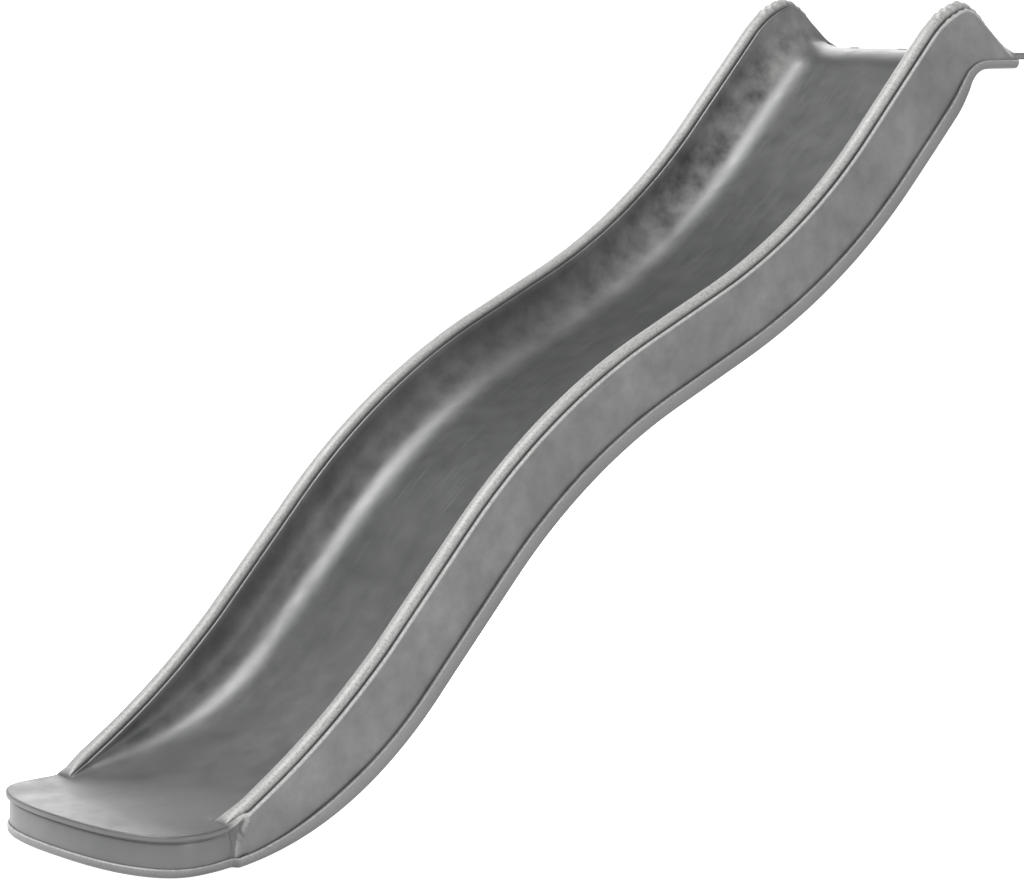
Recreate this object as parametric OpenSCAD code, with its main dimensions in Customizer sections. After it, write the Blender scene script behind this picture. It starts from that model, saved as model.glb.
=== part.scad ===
// Wave slide: a hollow two-shell playground slide for a raised platform.
// +Y runs from the toe up to the deck, +X is across, +Z is up.
// The origin is on the ground, under the middle of the whole slide.

/* [Overall] */
// Height of the platform top that the deck lip rests on
deck_h = 1200; // [1000:10:1500]
// Distance between the centre lines of the two rim beads
rim_pitch = 430; // [350:5:520]

/* [Bed curve] */
// Thickness of the flat toe, from the ground to the top of its plate
toe_t = 65; // [55:1:80]
// Slope of the two steep stretches, in degrees
steep = 46.5; // [40:0.5:52]
// Slope at the waist of the wave, in degrees
waist = 23.5; // [14:0.5:32]
// Radius of the run-out curve above the toe
run_out_r = 585; // [450:5:750]
// Radius of the wave's round-over
crest_r = 1140; // [800:10:1400]
// Radius of the wave's hollow
hollow_r = 1190; // [800:10:1400]
// Length of the straight stretch at the waist
waist_len = 170; // [80:5:300]
// Radius where the bed rolls over on to the deck
deck_r = 100; // [60:5:160]
// Flat length of the deck before the body ends
deck_len = 92; // [70:2:130]

/* [Section] */
// Rim height above the bed at the wave
rim_low = 92; // [70:1:120]
// Rim height above the bed at the head
rim_high = 96; // [70:1:125]
// Half width of the flat part of the bed
bed_half = 125; // [90:1:150]
// Width of the round bead along the rim
bead_w = 29; // [22:1:36]
// Height of the bead above its grooves
bead_h = 10; // [6:0.5:14]
// Width of the ledge outside each groove
ledge_w = 6; // [4:0.5:9]
// Depth of the body below the bed, along the slope
body_t = 44; // [36:1:56]
// Extra depth of the body that builds up along the upper straight
swell_t = 10; // [0:1:16]
// Length over which the body thins behind the toe
thin_len = 500; // [300:10:600]
// Depth of the body below the deck at its end
head_t = 28; // [26:1:40]
// Wall thickness of both shells
wall = 4; // [3:0.25:5]
// Sideways lean of each outer wall from its top to its foot
lean = 3; // [0:0.5:8]

/* [Toe and head] */
// Length of the rounded front of the toe plate
toe_round = 100; // [70:5:140]
// Power of the toe's outline, an ellipse at 1 and squarer at the corners below it
toe_power = 0.8; // [0.7:0.05:1]
// Distance from the front of the toe to the rim's lower end
nose_at = 150; // [120:5:200]
// Length over which the rim rises from its lower end
nose_len = 400; // [250:10:500]
// How far the side walls stand proud of the toe's skirt
panel_proud = 9; // [4:0.5:12]
// Slope of the hump's rear face, in degrees
hump_slope = 38; // [30:1:50]
// Length of the lip beyond the end of the body
lip_len = 42; // [30:1:70]
// Thickness of the lip
lip_t = 12; // [9:0.5:16]

/* [Band] */
// Height of the band along the sides
band_h = 26; // [18:1:34]
// Height of the band round the toe
band_toe_h = 14; // [10:1:20]
// Thickness of the band
band_t = 6; // [4:0.5:8]
// Side clearance between the band and the wall it embraces
band_gap = 0.3; // [0.2:0.1:1]

/* [Fixings] */
// Shank diameter of the seam screws
seam_d = 4.2; // [3:0.1:5]
// Distance of the seam screws from the centre line
seam_x = 140; // [60:5:150]
// Outer diameter of a screw boss
boss_d = 14; // [10:1:20]
// Length of a seam screw under its head
seam_len = 20; // [16:1:24]
// How far a screw boss reaches into the skin above it
boss_bite = 1; // [0.5:0.1:1.5]
// Bore of the bushes for the platform screws
bush_bore = 6.6; // [5:0.1:9]
// Outer diameter of the bush sleeve
bush_d = 11; // [9:0.5:14]
// Width of the bush flange round its sleeve
flange_w = 3.5; // [2:0.5:5]
// Thickness of the bush flange
flange_t = 1.5; // [1:0.1:2.5]
// Distance of the outer bushes from the centre line
bush_x = 180; // [120:5:200]
// Width of the head bar
bar_w = 40; // [25:1:50]
// Thickness of the head bar
bar_t = 6; // [4:0.5:8]
// Distance of the head bar's ends from the centre line
bar_half = 170; // [150:5:190]
// Distance of the outer bar screws from the centre line
bar_x = 120; // [60:5:135]
// Shank diameter of the bar screws
bar_d = 6; // [4:0.5:8]
// Diameter of the drain holes
drain_d = 12; // [8:0.5:16]
// Distance of the drain holes from the centre line
drain_x = 90; // [50:5:140]
// Width of the sunk ledge round each drain hole
drain_ledge = 3; // [2:0.5:4]

/* [Hidden] */
$fn = 48;

clear = 0.15;               // running clearance round a screw or a sleeve
seat_gap = 0.25;            // gap under a boss, so that it never bears before the screw draws it down
rim_x = rim_pitch / 2;      // centre line of a rim bead
edge = bead_w / 2 + ledge_w + 1.5;   // bead centre to the top of a side wall
deck_z = deck_h + lip_t;    // top of the deck
toe_half = rim_x + edge - panel_proud;   // half width of the toe plate
fan_from = 6;               // first angle of the stations round the toe
rib_t = 5;                  // thickness of a stiffening rib
step = 0.5;                 // length of the step from the body to the lip
relief = 0.3;               // how far the lip is relieved above the tray's end wall
over = 1;                   // how far a cutter runs past the faces that it opens
seam_head_h = 3;            // height of a seam screw's head
bar_head_h = 4;             // height of a bar screw's head
screw_slack = 1;            // how much wider than its shank a screw's hole in the tray is
plug_slack = 0.3;           // play of a drain plug's head in its ledge
barb_h = 3;                 // height of a drain plug's barb

// ---- Bed curve: straights and arcs, each as [length, turn in degrees] ----
function arc_len(r, turn) = r * abs(turn) * PI / 180;
arcs_rise = run_out_r * (1 - cos(steep)) + (crest_r + hollow_r) * (cos(waist) - cos(steep))
    + waist_len * sin(waist) + deck_r * (1 - cos(steep));
steep_len = (deck_z - toe_t - arcs_rise) / sin(steep) / 2;
SEGS = [[toe_round, 0], [arc_len(run_out_r, steep), steep], [steep_len, 0],
        [arc_len(crest_r, steep - waist), waist - steep], [waist_len, 0],
        [arc_len(hollow_r, steep - waist), steep - waist], [steep_len, 0],
        [arc_len(deck_r, steep), -steep], [deck_len + lip_len, 0]];
function upto(i) = i == 0 ? 0 : upto(i - 1) + SEGS[i - 1][0];
ENDS = [for (i = [0 : len(SEGS)]) upto(i)];

// A point [y, z, slope] carried a length along a straight or an arc
function carry(p, length, turn) =
    let (half = turn / 2, chord = half == 0 ? length : length * sin(half) / (half * PI / 180))
    [p[0] + chord * cos(p[2] + half), p[1] + chord * sin(p[2] + half), p[2] + turn];
function bed(s, i = 0, p = [0, toe_t, 0]) =
    (s <= SEGS[i][0] || i == len(SEGS) - 1)
    ? carry(p, s, SEGS[i][1] * s / SEGS[i][0])
    : bed(s - SEGS[i][0], i + 1, carry(p, SEGS[i][0], SEGS[i][1]));

body_end = ENDS[8] + deck_len;       // length along the bed to the end of the body
lip_end = body_end + lip_len;
lip_from = body_end - wall - step;   // where the rim and the side walls end
front_y = -band_gap - band_t;        // foremost point, on the band
origin_y = (front_y + bed(lip_end)[0]) / 2;

// ---- Sizes that change along the bed ----
function clamp(v) = min(max(v, 0), 1);
function ease(v) = let (t = clamp(v)) t * t * (3 - 2 * t);
function mix(a, b, t) = a + (b - a) * t;
function soft_min(a, b, r) = let (h = max(r - abs(a - b), 0) / r) min(a, b) - h * h * r / 4;
// Height of the rear hump face above the bed, along the bed's normal
function hump_room(s) =
    let (p = bed(s), foot = bed(lip_from), fall = tan(hump_slope),
         lean_in = cos(p[2]) - sin(p[2]) * fall)
    lean_in < 0.05 ? 1000 : ((foot[0] - p[0]) * fall - (p[1] - foot[1])) / lean_in;
function rim_h(s) = s <= nose_at || s >= lip_from ? 0 :
    max(soft_min(mix(rim_low, rim_high, s / lip_end)
        * pow(sin(90 * clamp((s - nose_at) / nose_len)), 0.7), hump_room(s), 30), 0);
head_from = ENDS[7] - 60;
head_to = ENDS[8] + 20;
function depth(s) = mix(
    mix(toe_t, body_t, ease((s - toe_round) / thin_len))
        + swell_t * ease((s - ENDS[5]) / (head_from - ENDS[5])),
    head_t, ease((s - head_from) / (head_to - head_from)));
function band_height(s) = mix(mix(band_toe_h, band_h, ease((s - toe_round) / 300)),
    head_t - lip_t, ease((s - head_from) / (head_to - head_from)));
function band_depth(s) = mix(band_t, band_t / 2, ease((s - head_from) / (head_to - head_from)));
function proud(s) = ease((s - nose_at + 2) / 12);

// ---- Stations along the slide, as [s, fan angle] ----
// Round the toe the stations fan out, beyond it they stand square to the bed.
function spread(a, b, n) = [for (i = [1 : n]) [mix(a, b, i / n), 90]];
FAN = [for (f = [fan_from : 12 : 90]) [toe_round, f]];
BODY = concat(
    FAN,
    [[mix(toe_round, nose_at, 0.5), 90], [nose_at, 90]],
    [for (i = [1 : 12]) [nose_at + (ENDS[2] - nose_at) * i * i / 144, 90]],
    spread(ENDS[2], ENDS[3], 2),
    spread(ENDS[3], ENDS[4], 6),
    spread(ENDS[4], ENDS[5], 2),
    spread(ENDS[5], ENDS[6], 6),
    spread(ENDS[6], ENDS[7], 3),
    spread(ENDS[7], ENDS[8], 7),
    spread(ENDS[8], lip_from, 5));
UPPER = concat(BODY, [[body_end - wall, 90], [body_end, 90], [lip_end, 90]]);
UNDER = concat(BODY, [[body_end, 90]]);

// Sideways squeeze that sets the toe's skirt in from the side walls
function squeeze(x, s) = x <= bed_half ? x :
    bed_half + (x - bed_half) * (1 - panel_proud * (1 - proud(s)) / (rim_x + edge - bed_half));
// Forward reach of a point of the toe, so that walls keep their thickness round the front
solid_rim = 30;
function reach(x) = x > toe_half - solid_rim ? toe_round - (toe_half - x)
    : (toe_round - solid_rim) * x / (toe_half - solid_rim);
// Place of a section point, x across and h above the bed, at a station
function place(st, x, h) =
    let (p = bed(st[0]), fan = st[1], fore = pow(cos(fan) / cos(fan_from), toe_power) * reach(x))
    [x * pow(sin(fan), toe_power), p[0] - fore - h * sin(p[2]), p[1] + h * cos(p[2])];

// ---- Half sections, from the centre out to the foot of the outer wall ----
wall_steps = 7;
function wall_x(t) = bed_half + (rim_x - edge - bed_half) * pow(sin(90 * t), 0.77);
function wall_h(t) = 1 - pow(cos(90 * t), 0.77);
function lip_at(s) = s > lip_from + step / 2;
function lip_under(s) = s < body_end ? relief - lip_t : -lip_t;

function outer_half(s) =
    let (d = rim_h(s), k = clamp(d / 26), top = d - (bead_h + 3) * k, w = bead_w / 2,
         foot = lip_at(s) ? lip_under(s) : wall - depth(s), lean_now = lean * proud(s))
    concat(
        [for (x = [0.08, 0.36, 0.68, 1]) [x * bed_half, 0]],
        [for (i = [1 : wall_steps]) [wall_x(i / wall_steps), top * wall_h(i / wall_steps)]],
        [[rim_x - edge + 2, top + 2 * k], [rim_x - w - 2.5, top + 2.5 * k],
         [rim_x - w - 1, top + 0.5 * k]],
        [for (a = [180 : -30 : 0]) [rim_x + w * cos(a), d - bead_h * k + bead_h * k * sin(a)]],
        [[rim_x + w + 1, top + 0.5 * k], [rim_x + w + 2.5, top + 2.5 * k],
         [rim_x + edge - 2, top + 2 * k - 0.8], [rim_x + edge - 0.4, top + 2 * k - 3],
         [rim_x + edge, top - 6], [rim_x + edge - 1.5 * (1 - proud(s)), top - 8],
         [rim_x + edge - 1.5 * (1 - proud(s)) + lean_now, foot]]);

function inner_half(s) =
    let (d = rim_h(s), k = clamp(d / 26), top = d - (bead_h + 3) * k, w = bead_w / 2,
         foot = wall - depth(s), lean_now = lean * proud(s),
         out = rim_x + edge - 1.5 * (1 - proud(s)) - wall,
         body = concat(
            [for (x = [0.08, 0.5, 1]) [x * bed_half, -wall]],
            [for (i = [1 : 4]) [wall_x(i / 4) + wall * sin(22.5 * i),
                top * wall_h(i / 4) - wall * cos(22.5 * i) - wall / 2 * i / 4 * k
                - wall * (1 - k) * (1 - cos(22.5 * i))]],
            [[rim_x - w + 1, d - wall - (bead_h + 1) * k], [rim_x - w / 2, d - wall - 3 * k],
             [rim_x + w / 2, d - wall - 3 * k], [rim_x + w - 1, d - wall - (bead_h + 1) * k],
             [out, top - wall - 5], [out + lean_now, foot]]))
    lip_at(s)
    ? [for (i = [0 : len(body) - 1])
        [mix(body[0][0], rim_x + edge - wall, i / (len(body) - 1)), lip_under(s)]]
    : body;

function tray_x(s) = squeeze(rim_x + edge + lean * proud(s), s) + band_gap;
function tray_outer_half(s) =
    let (x = tray_x(s) + band_depth(s), low = -depth(s))
    [[0.08 * bed_half, low], [bed_half, low], [x - 3, low], [x, low + 3], [x, low + band_height(s)]];
function tray_inner_half(s) =
    let (low = wall - depth(s))
    [[0.08 * bed_half, low], [bed_half, low], [tray_x(s), low],
     [tray_x(s), low - wall + band_height(s)]];

// ---- A shell between two skins, each swept through its own stations ----
function row(st, half, squeezed) =
    let (right = [for (q = half) place(st, squeezed ? squeeze(q[0], st[0]) : q[0], q[1])])
    concat([for (i = [len(right) - 1 : -1 : 0]) [-right[i][0], right[i][1], right[i][2]]], right);
function quad(a, b, c, d) = [[a, b, c], [a, c, d]];
function flipped(f) = [for (t = f) [for (i = [len(t) - 1 : -1 : 0]) t[i]]];
function flat_list(l) = [for (a = l) for (b = a) b];
// Triangles of one skin of n points by m stations, with the strip that closes the toe
function skin(n, m, first) = flat_list(concat(
    [for (i = [0 : m - 2], j = [0 : n - 2])
        let (a = first + i * n + j, b = a + n)
        quad(a, b, b + 1, a + 1)],
    [for (j = [0 : n / 2 - 2])
        quad(first + j, first + j + 1, first + n - 2 - j, first + n - 1 - j)]));
// Triangles of the edge strip that joins the two skins along their feet and round the toe
function hem(n, p, m, inner) = flat_list(concat(
    [for (i = [0 : m - 2]) quad(i * n, inner + i * p, inner + (i + 1) * p, (i + 1) * n)],
    [for (i = [0 : m - 2])
        quad(i * n + n - 1, (i + 1) * n + n - 1, inner + (i + 1) * p + p - 1, inner + i * p + p - 1)],
    [quad(0, n - 1, inner + p - 1, inner)]));
// Faces of the far end: a strip laced between the two skins, or two caps and a ledge between them
function laced(i, n, p) = round((i + 0.5) * (n - 1) / (p - 1));
function open_end(n, p, m, inner) =
    let (a = (m - 1) * n, b = inner + (m - 1) * p,
         turn = [for (i = [-1 : p - 1]) i < 0 ? 0 : i == p - 1 ? n - 1 : laced(i, n, p)])
    concat([for (i = [0 : p - 1], j = [turn[i] : 1 : turn[i + 1] - 1]) [a + j + 1, a + j, b + i]],
        [for (i = [0 : p - 2]) [b + i, b + i + 1, a + turn[i + 1]]]);
function capped_end(n, p, m, inner) = concat(
    [[for (j = [n - 1 : -1 : 0]) (m - 1) * n + j]],
    [[for (j = [0 : p - 1]) inner + (m - 1) * p + j]],
    quad((m - 1) * n, inner + (m - 1) * p, inner + (m - 1) * p + p - 1, (m - 1) * n + n - 1));

module shell(outer, inner, capped) {
    n = len(outer[0]);
    p = len(inner[0]);
    m = len(outer);
    at_inner = n * m;
    faces = concat(skin(n, m, 0), flipped(skin(p, m, at_inner)), hem(n, p, m, at_inner),
        capped ? capped_end(n, p, m, at_inner) : open_end(n, p, m, at_inner));
    polyhedron(points = concat(flat_list(outer), flat_list(inner)),
        faces = capped ? flipped(faces) : faces, convexity = 8);
}

// ---- Places of the fixings ----
// Frame in the middle of the tray's flat facet between stations i and i + 1
function under(i) = place(BODY[i], 0, -depth(BODY[i][0]));
function facet(i) = let (a = under(i), b = under(i + 1))
    [(a[1] + b[1]) / 2, (a[2] + b[2]) / 2, atan2(b[2] - a[2], b[1] - a[1])];
fan_count = len(FAN);
SEAM_ROWS = [for (i = [10, 14, 18, 22, 26, 30]) fan_count + i];
RIB_ROWS = [for (i = [8, 12, 16, 20, 24, 28]) fan_count + i];
function mean_depth(i) = (depth(BODY[i][0]) + depth(BODY[i + 1][0])) / 2;
// Height of the underside of the bed's skin above the tray's facet, over the inner side of a boss
function skin_above(i) = mean_depth(i) + lookup(seam_x - boss_d / 2, inner_half(BODY[i][0]));
bar_y = bed(ENDS[8])[0] + (deck_len - 2 * wall) / 2;
BAR_X = [-bar_x, 0, bar_x];
BUSH_X = [for (f = [-1 : 2 / 3 : 1]) f * bush_x];
bush_y = bed(lip_end)[0] - (lip_len - wall) / 2;
DRAIN_X = [-drain_x, drain_x];
drain_y = toe_round * 0.62;
head_under = deck_z - head_t;
bar_under = deck_z - wall - bar_t;

module on_facet(i) {
    f = facet(i);
    translate([0, f[0], f[1]]) rotate([f[2], 0, 0]) children();
}
module seams() {
    for (i = SEAM_ROWS, side = [-1, 1])
        on_facet(i) translate([side * seam_x, 0, 0]) children();
}
module from_origin() { translate([0, -origin_y, 0]) children(); }

module upper_shell() {
    color("#77787a") from_origin() difference() {
        union() {
            shell([for (st = UPPER) row(st, outer_half(st[0]), true)],
                  [for (st = UPPER) row(st, inner_half(st[0]), true)], false);
            for (i = SEAM_ROWS, side = [-1, 1])
                on_facet(i) translate([side * seam_x, 0, wall + seat_gap])
                    cylinder(d = boss_d, h = skin_above(i) + boss_bite - wall - seat_gap);
        }
        seams() cylinder(d = seam_d + 2 * clear, h = seam_len + 2);
        for (x = BUSH_X)
            translate([x, bush_y, deck_h - over])
                cylinder(d = bush_d + 2 * clear, h = lip_t + 2 * over);
    }
}

module under_shell() {
    color("#6b6c6e") from_origin() difference() {
        union() {
            shell([for (st = UNDER) row(st, tray_outer_half(st[0]), false)],
                  [for (st = UNDER) row(st[0] == body_end ? [body_end - wall, 90] : st,
                                        tray_inner_half(st[0]), false)], true);
            for (i = RIB_ROWS)
                on_facet(i) translate([-seam_x, -rib_t / 2, wall / 2])
                    cube([2 * seam_x, rib_t, mean_depth(i) - 1.5 * wall - over]);
        }
        seams() translate([0, 0, -over]) cylinder(d = seam_d + screw_slack, h = wall + 2 * over);
        for (x = BAR_X)
            translate([x, bar_y, head_under - over])
                cylinder(d = bar_d + screw_slack, h = wall + 2 * over);
        for (x = DRAIN_X) translate([x, drain_y, -over]) {
            cylinder(d = drain_d, h = wall + 2 * over);
            cylinder(d = drain_d + 2 * drain_ledge, h = over + wall / 2);
        }
    }
}

module screw(head_d, head_h, shank_d, shank_len) {
    translate([0, 0, -head_h]) cylinder(d = head_d, h = head_h);
    cylinder(d = shank_d, h = shank_len);
}

module seam_screws() {
    color("silver") from_origin() seams() screw(2.2 * seam_d, seam_head_h, seam_d, seam_len);
}

module head_bar() {
    color("#9aa0a6") from_origin() difference() {
        translate([-bar_half, bar_y - bar_w / 2, bar_under]) cube([2 * bar_half, bar_w, bar_t]);
        for (x = BAR_X)
            translate([x, bar_y, bar_under - over])
                cylinder(d = bar_d + 2 * clear, h = bar_t + 2 * over);
    }
}

module bar_screws() {
    color("silver") from_origin() for (x = BAR_X) translate([x, bar_y, head_under])
        screw(2 * bar_d, bar_head_h, bar_d, head_t - wall - over);
}

module deck_bushes() {
    color("#3a3b3d") from_origin() for (x = BUSH_X) translate([x, bush_y, 0])
        difference() {
            union() {
                translate([0, 0, deck_h]) cylinder(d = bush_d, h = lip_t);
                translate([0, 0, deck_z]) cylinder(d = bush_d + 2 * flange_w, h = flange_t);
            }
            translate([0, 0, deck_h - over])
                cylinder(d = bush_bore, h = lip_t + flange_t + 2 * over);
        }
}

module drain_plugs() {
    color("#2f3032") from_origin() for (x = DRAIN_X) translate([x, drain_y, 0]) {
        translate([0, 0, clear]) {
            cylinder(d = drain_d + 2 * drain_ledge - 2 * plug_slack, h = wall / 2 - clear);
            cylinder(d = drain_d - 2 * clear, h = wall + barb_h / 2);
        }
        translate([0, 0, wall + clear]) cylinder(d1 = drain_d + 1, d2 = drain_d - 3, h = barb_h);
    }
}

upper_shell();
under_shell();
seam_screws();
head_bar();
bar_screws();
deck_bushes();
drain_plugs();
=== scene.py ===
"""Wave slide for a raised platform: its mouldings and fittings, dressed.

Lengths are in metres. +Y runs from the toe up to the deck, +X is across and +Z is up. Every
moulding is a section carried along the bed curve, and every fitting is a profile turned about
its own axis.
"""

import logging
from dataclasses import dataclass, field
from enum import Enum
from math import cos, pi, radians, sin, tan
from typing import ClassVar

import bmesh
import bpy
import numpy as np
from mathutils import Euler, Matrix, Vector
from numpy.typing import NDArray


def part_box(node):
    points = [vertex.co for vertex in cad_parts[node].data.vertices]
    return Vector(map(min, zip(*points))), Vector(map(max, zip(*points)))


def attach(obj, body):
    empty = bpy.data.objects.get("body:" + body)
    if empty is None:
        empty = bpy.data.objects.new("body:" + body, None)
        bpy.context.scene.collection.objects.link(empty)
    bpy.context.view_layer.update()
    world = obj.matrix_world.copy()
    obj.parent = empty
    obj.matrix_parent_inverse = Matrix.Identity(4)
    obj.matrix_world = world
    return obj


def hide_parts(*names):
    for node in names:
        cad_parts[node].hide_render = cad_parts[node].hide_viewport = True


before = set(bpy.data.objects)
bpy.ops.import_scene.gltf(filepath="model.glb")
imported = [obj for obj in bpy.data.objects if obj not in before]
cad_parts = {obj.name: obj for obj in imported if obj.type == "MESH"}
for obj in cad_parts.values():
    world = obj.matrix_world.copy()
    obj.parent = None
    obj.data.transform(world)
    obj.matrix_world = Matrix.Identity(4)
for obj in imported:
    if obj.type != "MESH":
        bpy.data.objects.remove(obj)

Array = NDArray[np.float64]
Indices = NDArray[np.int64]

LOG = logging.getLogger("wave_slide")
CREASE = radians(42.0)
WELD = 1e-6


# ---------------------------------------------------------------- small curves
def clamp(v: Array) -> Array:
    """The value held between 0 and 1."""
    return np.clip(v, 0.0, 1.0)


def ease(v: Array) -> Array:
    """Smooth step: three t squared less two t cubed, level at both ends."""
    t = clamp(v)
    return t * t * (3.0 - 2.0 * t)


def mix(a: Array, b: Array, t: Array) -> Array:
    """The value a share t of the way from a to b."""
    return a + (b - a) * t


def soft_min(a: Array, b: Array, blend: float) -> Array:
    """The lower of two values, with a parabola over the blend length where they cross.

    Args:
        a: First value.
        b: Second value.
        blend: Difference at which the rounding starts.

    Returns:
        min(a, b) less a quarter of the blend times the square of the closeness.
    """
    close = clamp((blend - np.abs(a - b)) / blend)
    return np.minimum(a, b) - close * close * blend / 4.0


def arc(cx: Array, cy: Array, rx: Array, ry: Array, start: float, stop: float, count: int) -> Array:
    """Points round an ellipse arc at each station, x = cx + rx cos a and h = cy + ry sin a.

    Args:
        cx: Centre across, one value a station.
        cy: Centre height, one value a station.
        rx: Half axis across.
        ry: Half axis up.
        start: First angle in degrees.
        stop: Last angle in degrees.
        count: Number of points.

    Returns:
        Points of shape (stations, count, 2).
    """
    angle = np.radians(np.linspace(start, stop, count))[None, :]
    one = np.ones_like(angle)
    return np.stack([cx[:, None] * one + rx * np.cos(angle),
                     cy[:, None] * one + np.reshape(ry, (-1, 1)) * np.sin(angle)], axis=-1)


def station_point(x: Array | float, h: Array) -> Array:
    """One point a station, across and up."""
    return np.stack([np.broadcast_to(x, h.shape), h], -1)[:, None]


def cut_corners(points: Array) -> Array:
    """Round each section by one pass of corner cutting, which keeps both ends.

    Every edge gives the points a quarter and three quarters of the way along it.

    Args:
        points: Section points, shape (stations, points, 2).

    Returns:
        The rounded sections, with twice as many points less two.
    """
    near = 0.75 * points[:, :-1] + 0.25 * points[:, 1:]
    far = 0.25 * points[:, :-1] + 0.75 * points[:, 1:]
    pairs = np.stack([near, far], axis=2).reshape(len(points), -1, 2)
    return np.concatenate([points[:, :1], pairs[:, 1:-1], points[:, -1:]], axis=1)


# ---------------------------------------------------------------- the form of the slide
@dataclass(frozen=True)
class BedCurve:
    """The line that the bed follows in side view: straights joined by tangent arcs."""

    toe_top: float = 0.065
    deck_top: float = 1.212
    steep: float = radians(46.5)
    waist: float = radians(23.5)
    run_out_r: float = 0.585
    crest_r: float = 1.14
    hollow_r: float = 1.19
    waist_len: float = 0.17
    deck_r: float = 0.1
    toe_len: float = 0.1
    deck_len: float = 0.092
    lip_len: float = 0.042

    def stretches(self) -> tuple[Array, Array]:
        """Length and turn of each straight and arc.

        The two steep straights share what the arcs leave of the rise from the toe to the deck.

        Returns:
            Lengths, and turns in radians.
        """
        drop = self.steep - self.waist
        arcs_rise = ((self.run_out_r + self.deck_r) * (1.0 - cos(self.steep))
                     + (self.crest_r + self.hollow_r) * (cos(self.waist) - cos(self.steep))
                     + self.waist_len * sin(self.waist))
        straight = (self.deck_top - self.toe_top - arcs_rise) / sin(self.steep) / 2.0
        lengths = [self.toe_len, self.run_out_r * self.steep, straight, self.crest_r * drop,
                   self.waist_len, self.hollow_r * drop, straight, self.deck_r * self.steep,
                   self.deck_len + self.lip_len]
        return np.array(lengths), np.array([0, self.steep, 0, -drop, 0, drop, 0, -self.steep, 0])

    def ends(self) -> Array:
        """Distance along the bed at which each stretch starts, and the whole length last."""
        return np.concatenate([[0.0], np.cumsum(self.stretches()[0])])

    @property
    def lip_end(self) -> float:
        """Length of the bed from the front of the toe to the end of the lip."""
        return float(self.ends()[-1])

    @property
    def body_end(self) -> float:
        """Length of the bed up to the end of the hollow body."""
        return self.lip_end - self.lip_len

    def at(self, s: Array) -> tuple[Array, Array, Array]:
        """Point and slope at a distance along the bed.

        Along an arc the chord is the length times the sine of half the turn over half the
        turn, and it points half the turn on from the arc's first slope.

        Args:
            s: Distances along the bed.

        Returns:
            y, z and slope in radians.
        """
        lengths, turns = self.stretches()
        slopes = np.concatenate([[0.0], np.cumsum(turns)])[:-1]
        chords = lengths * np.sinc(turns / 2.0 / pi)
        knots_y = np.concatenate([[0.0], np.cumsum(chords * np.cos(slopes + turns / 2.0))])
        knots_z = self.toe_top + np.concatenate(
            [[0.0], np.cumsum(chords * np.sin(slopes + turns / 2.0))])
        index = np.clip(np.searchsorted(self.ends(), s, side="left") - 1, 0, len(lengths) - 1)
        along = s - self.ends()[index]
        half = turns[index] * along / lengths[index] / 2.0
        chord = along * np.sinc(half / pi)
        return (knots_y[index] + chord * np.cos(slopes[index] + half),
                knots_z[index] + chord * np.sin(slopes[index] + half),
                slopes[index] + 2.0 * half)


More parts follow.
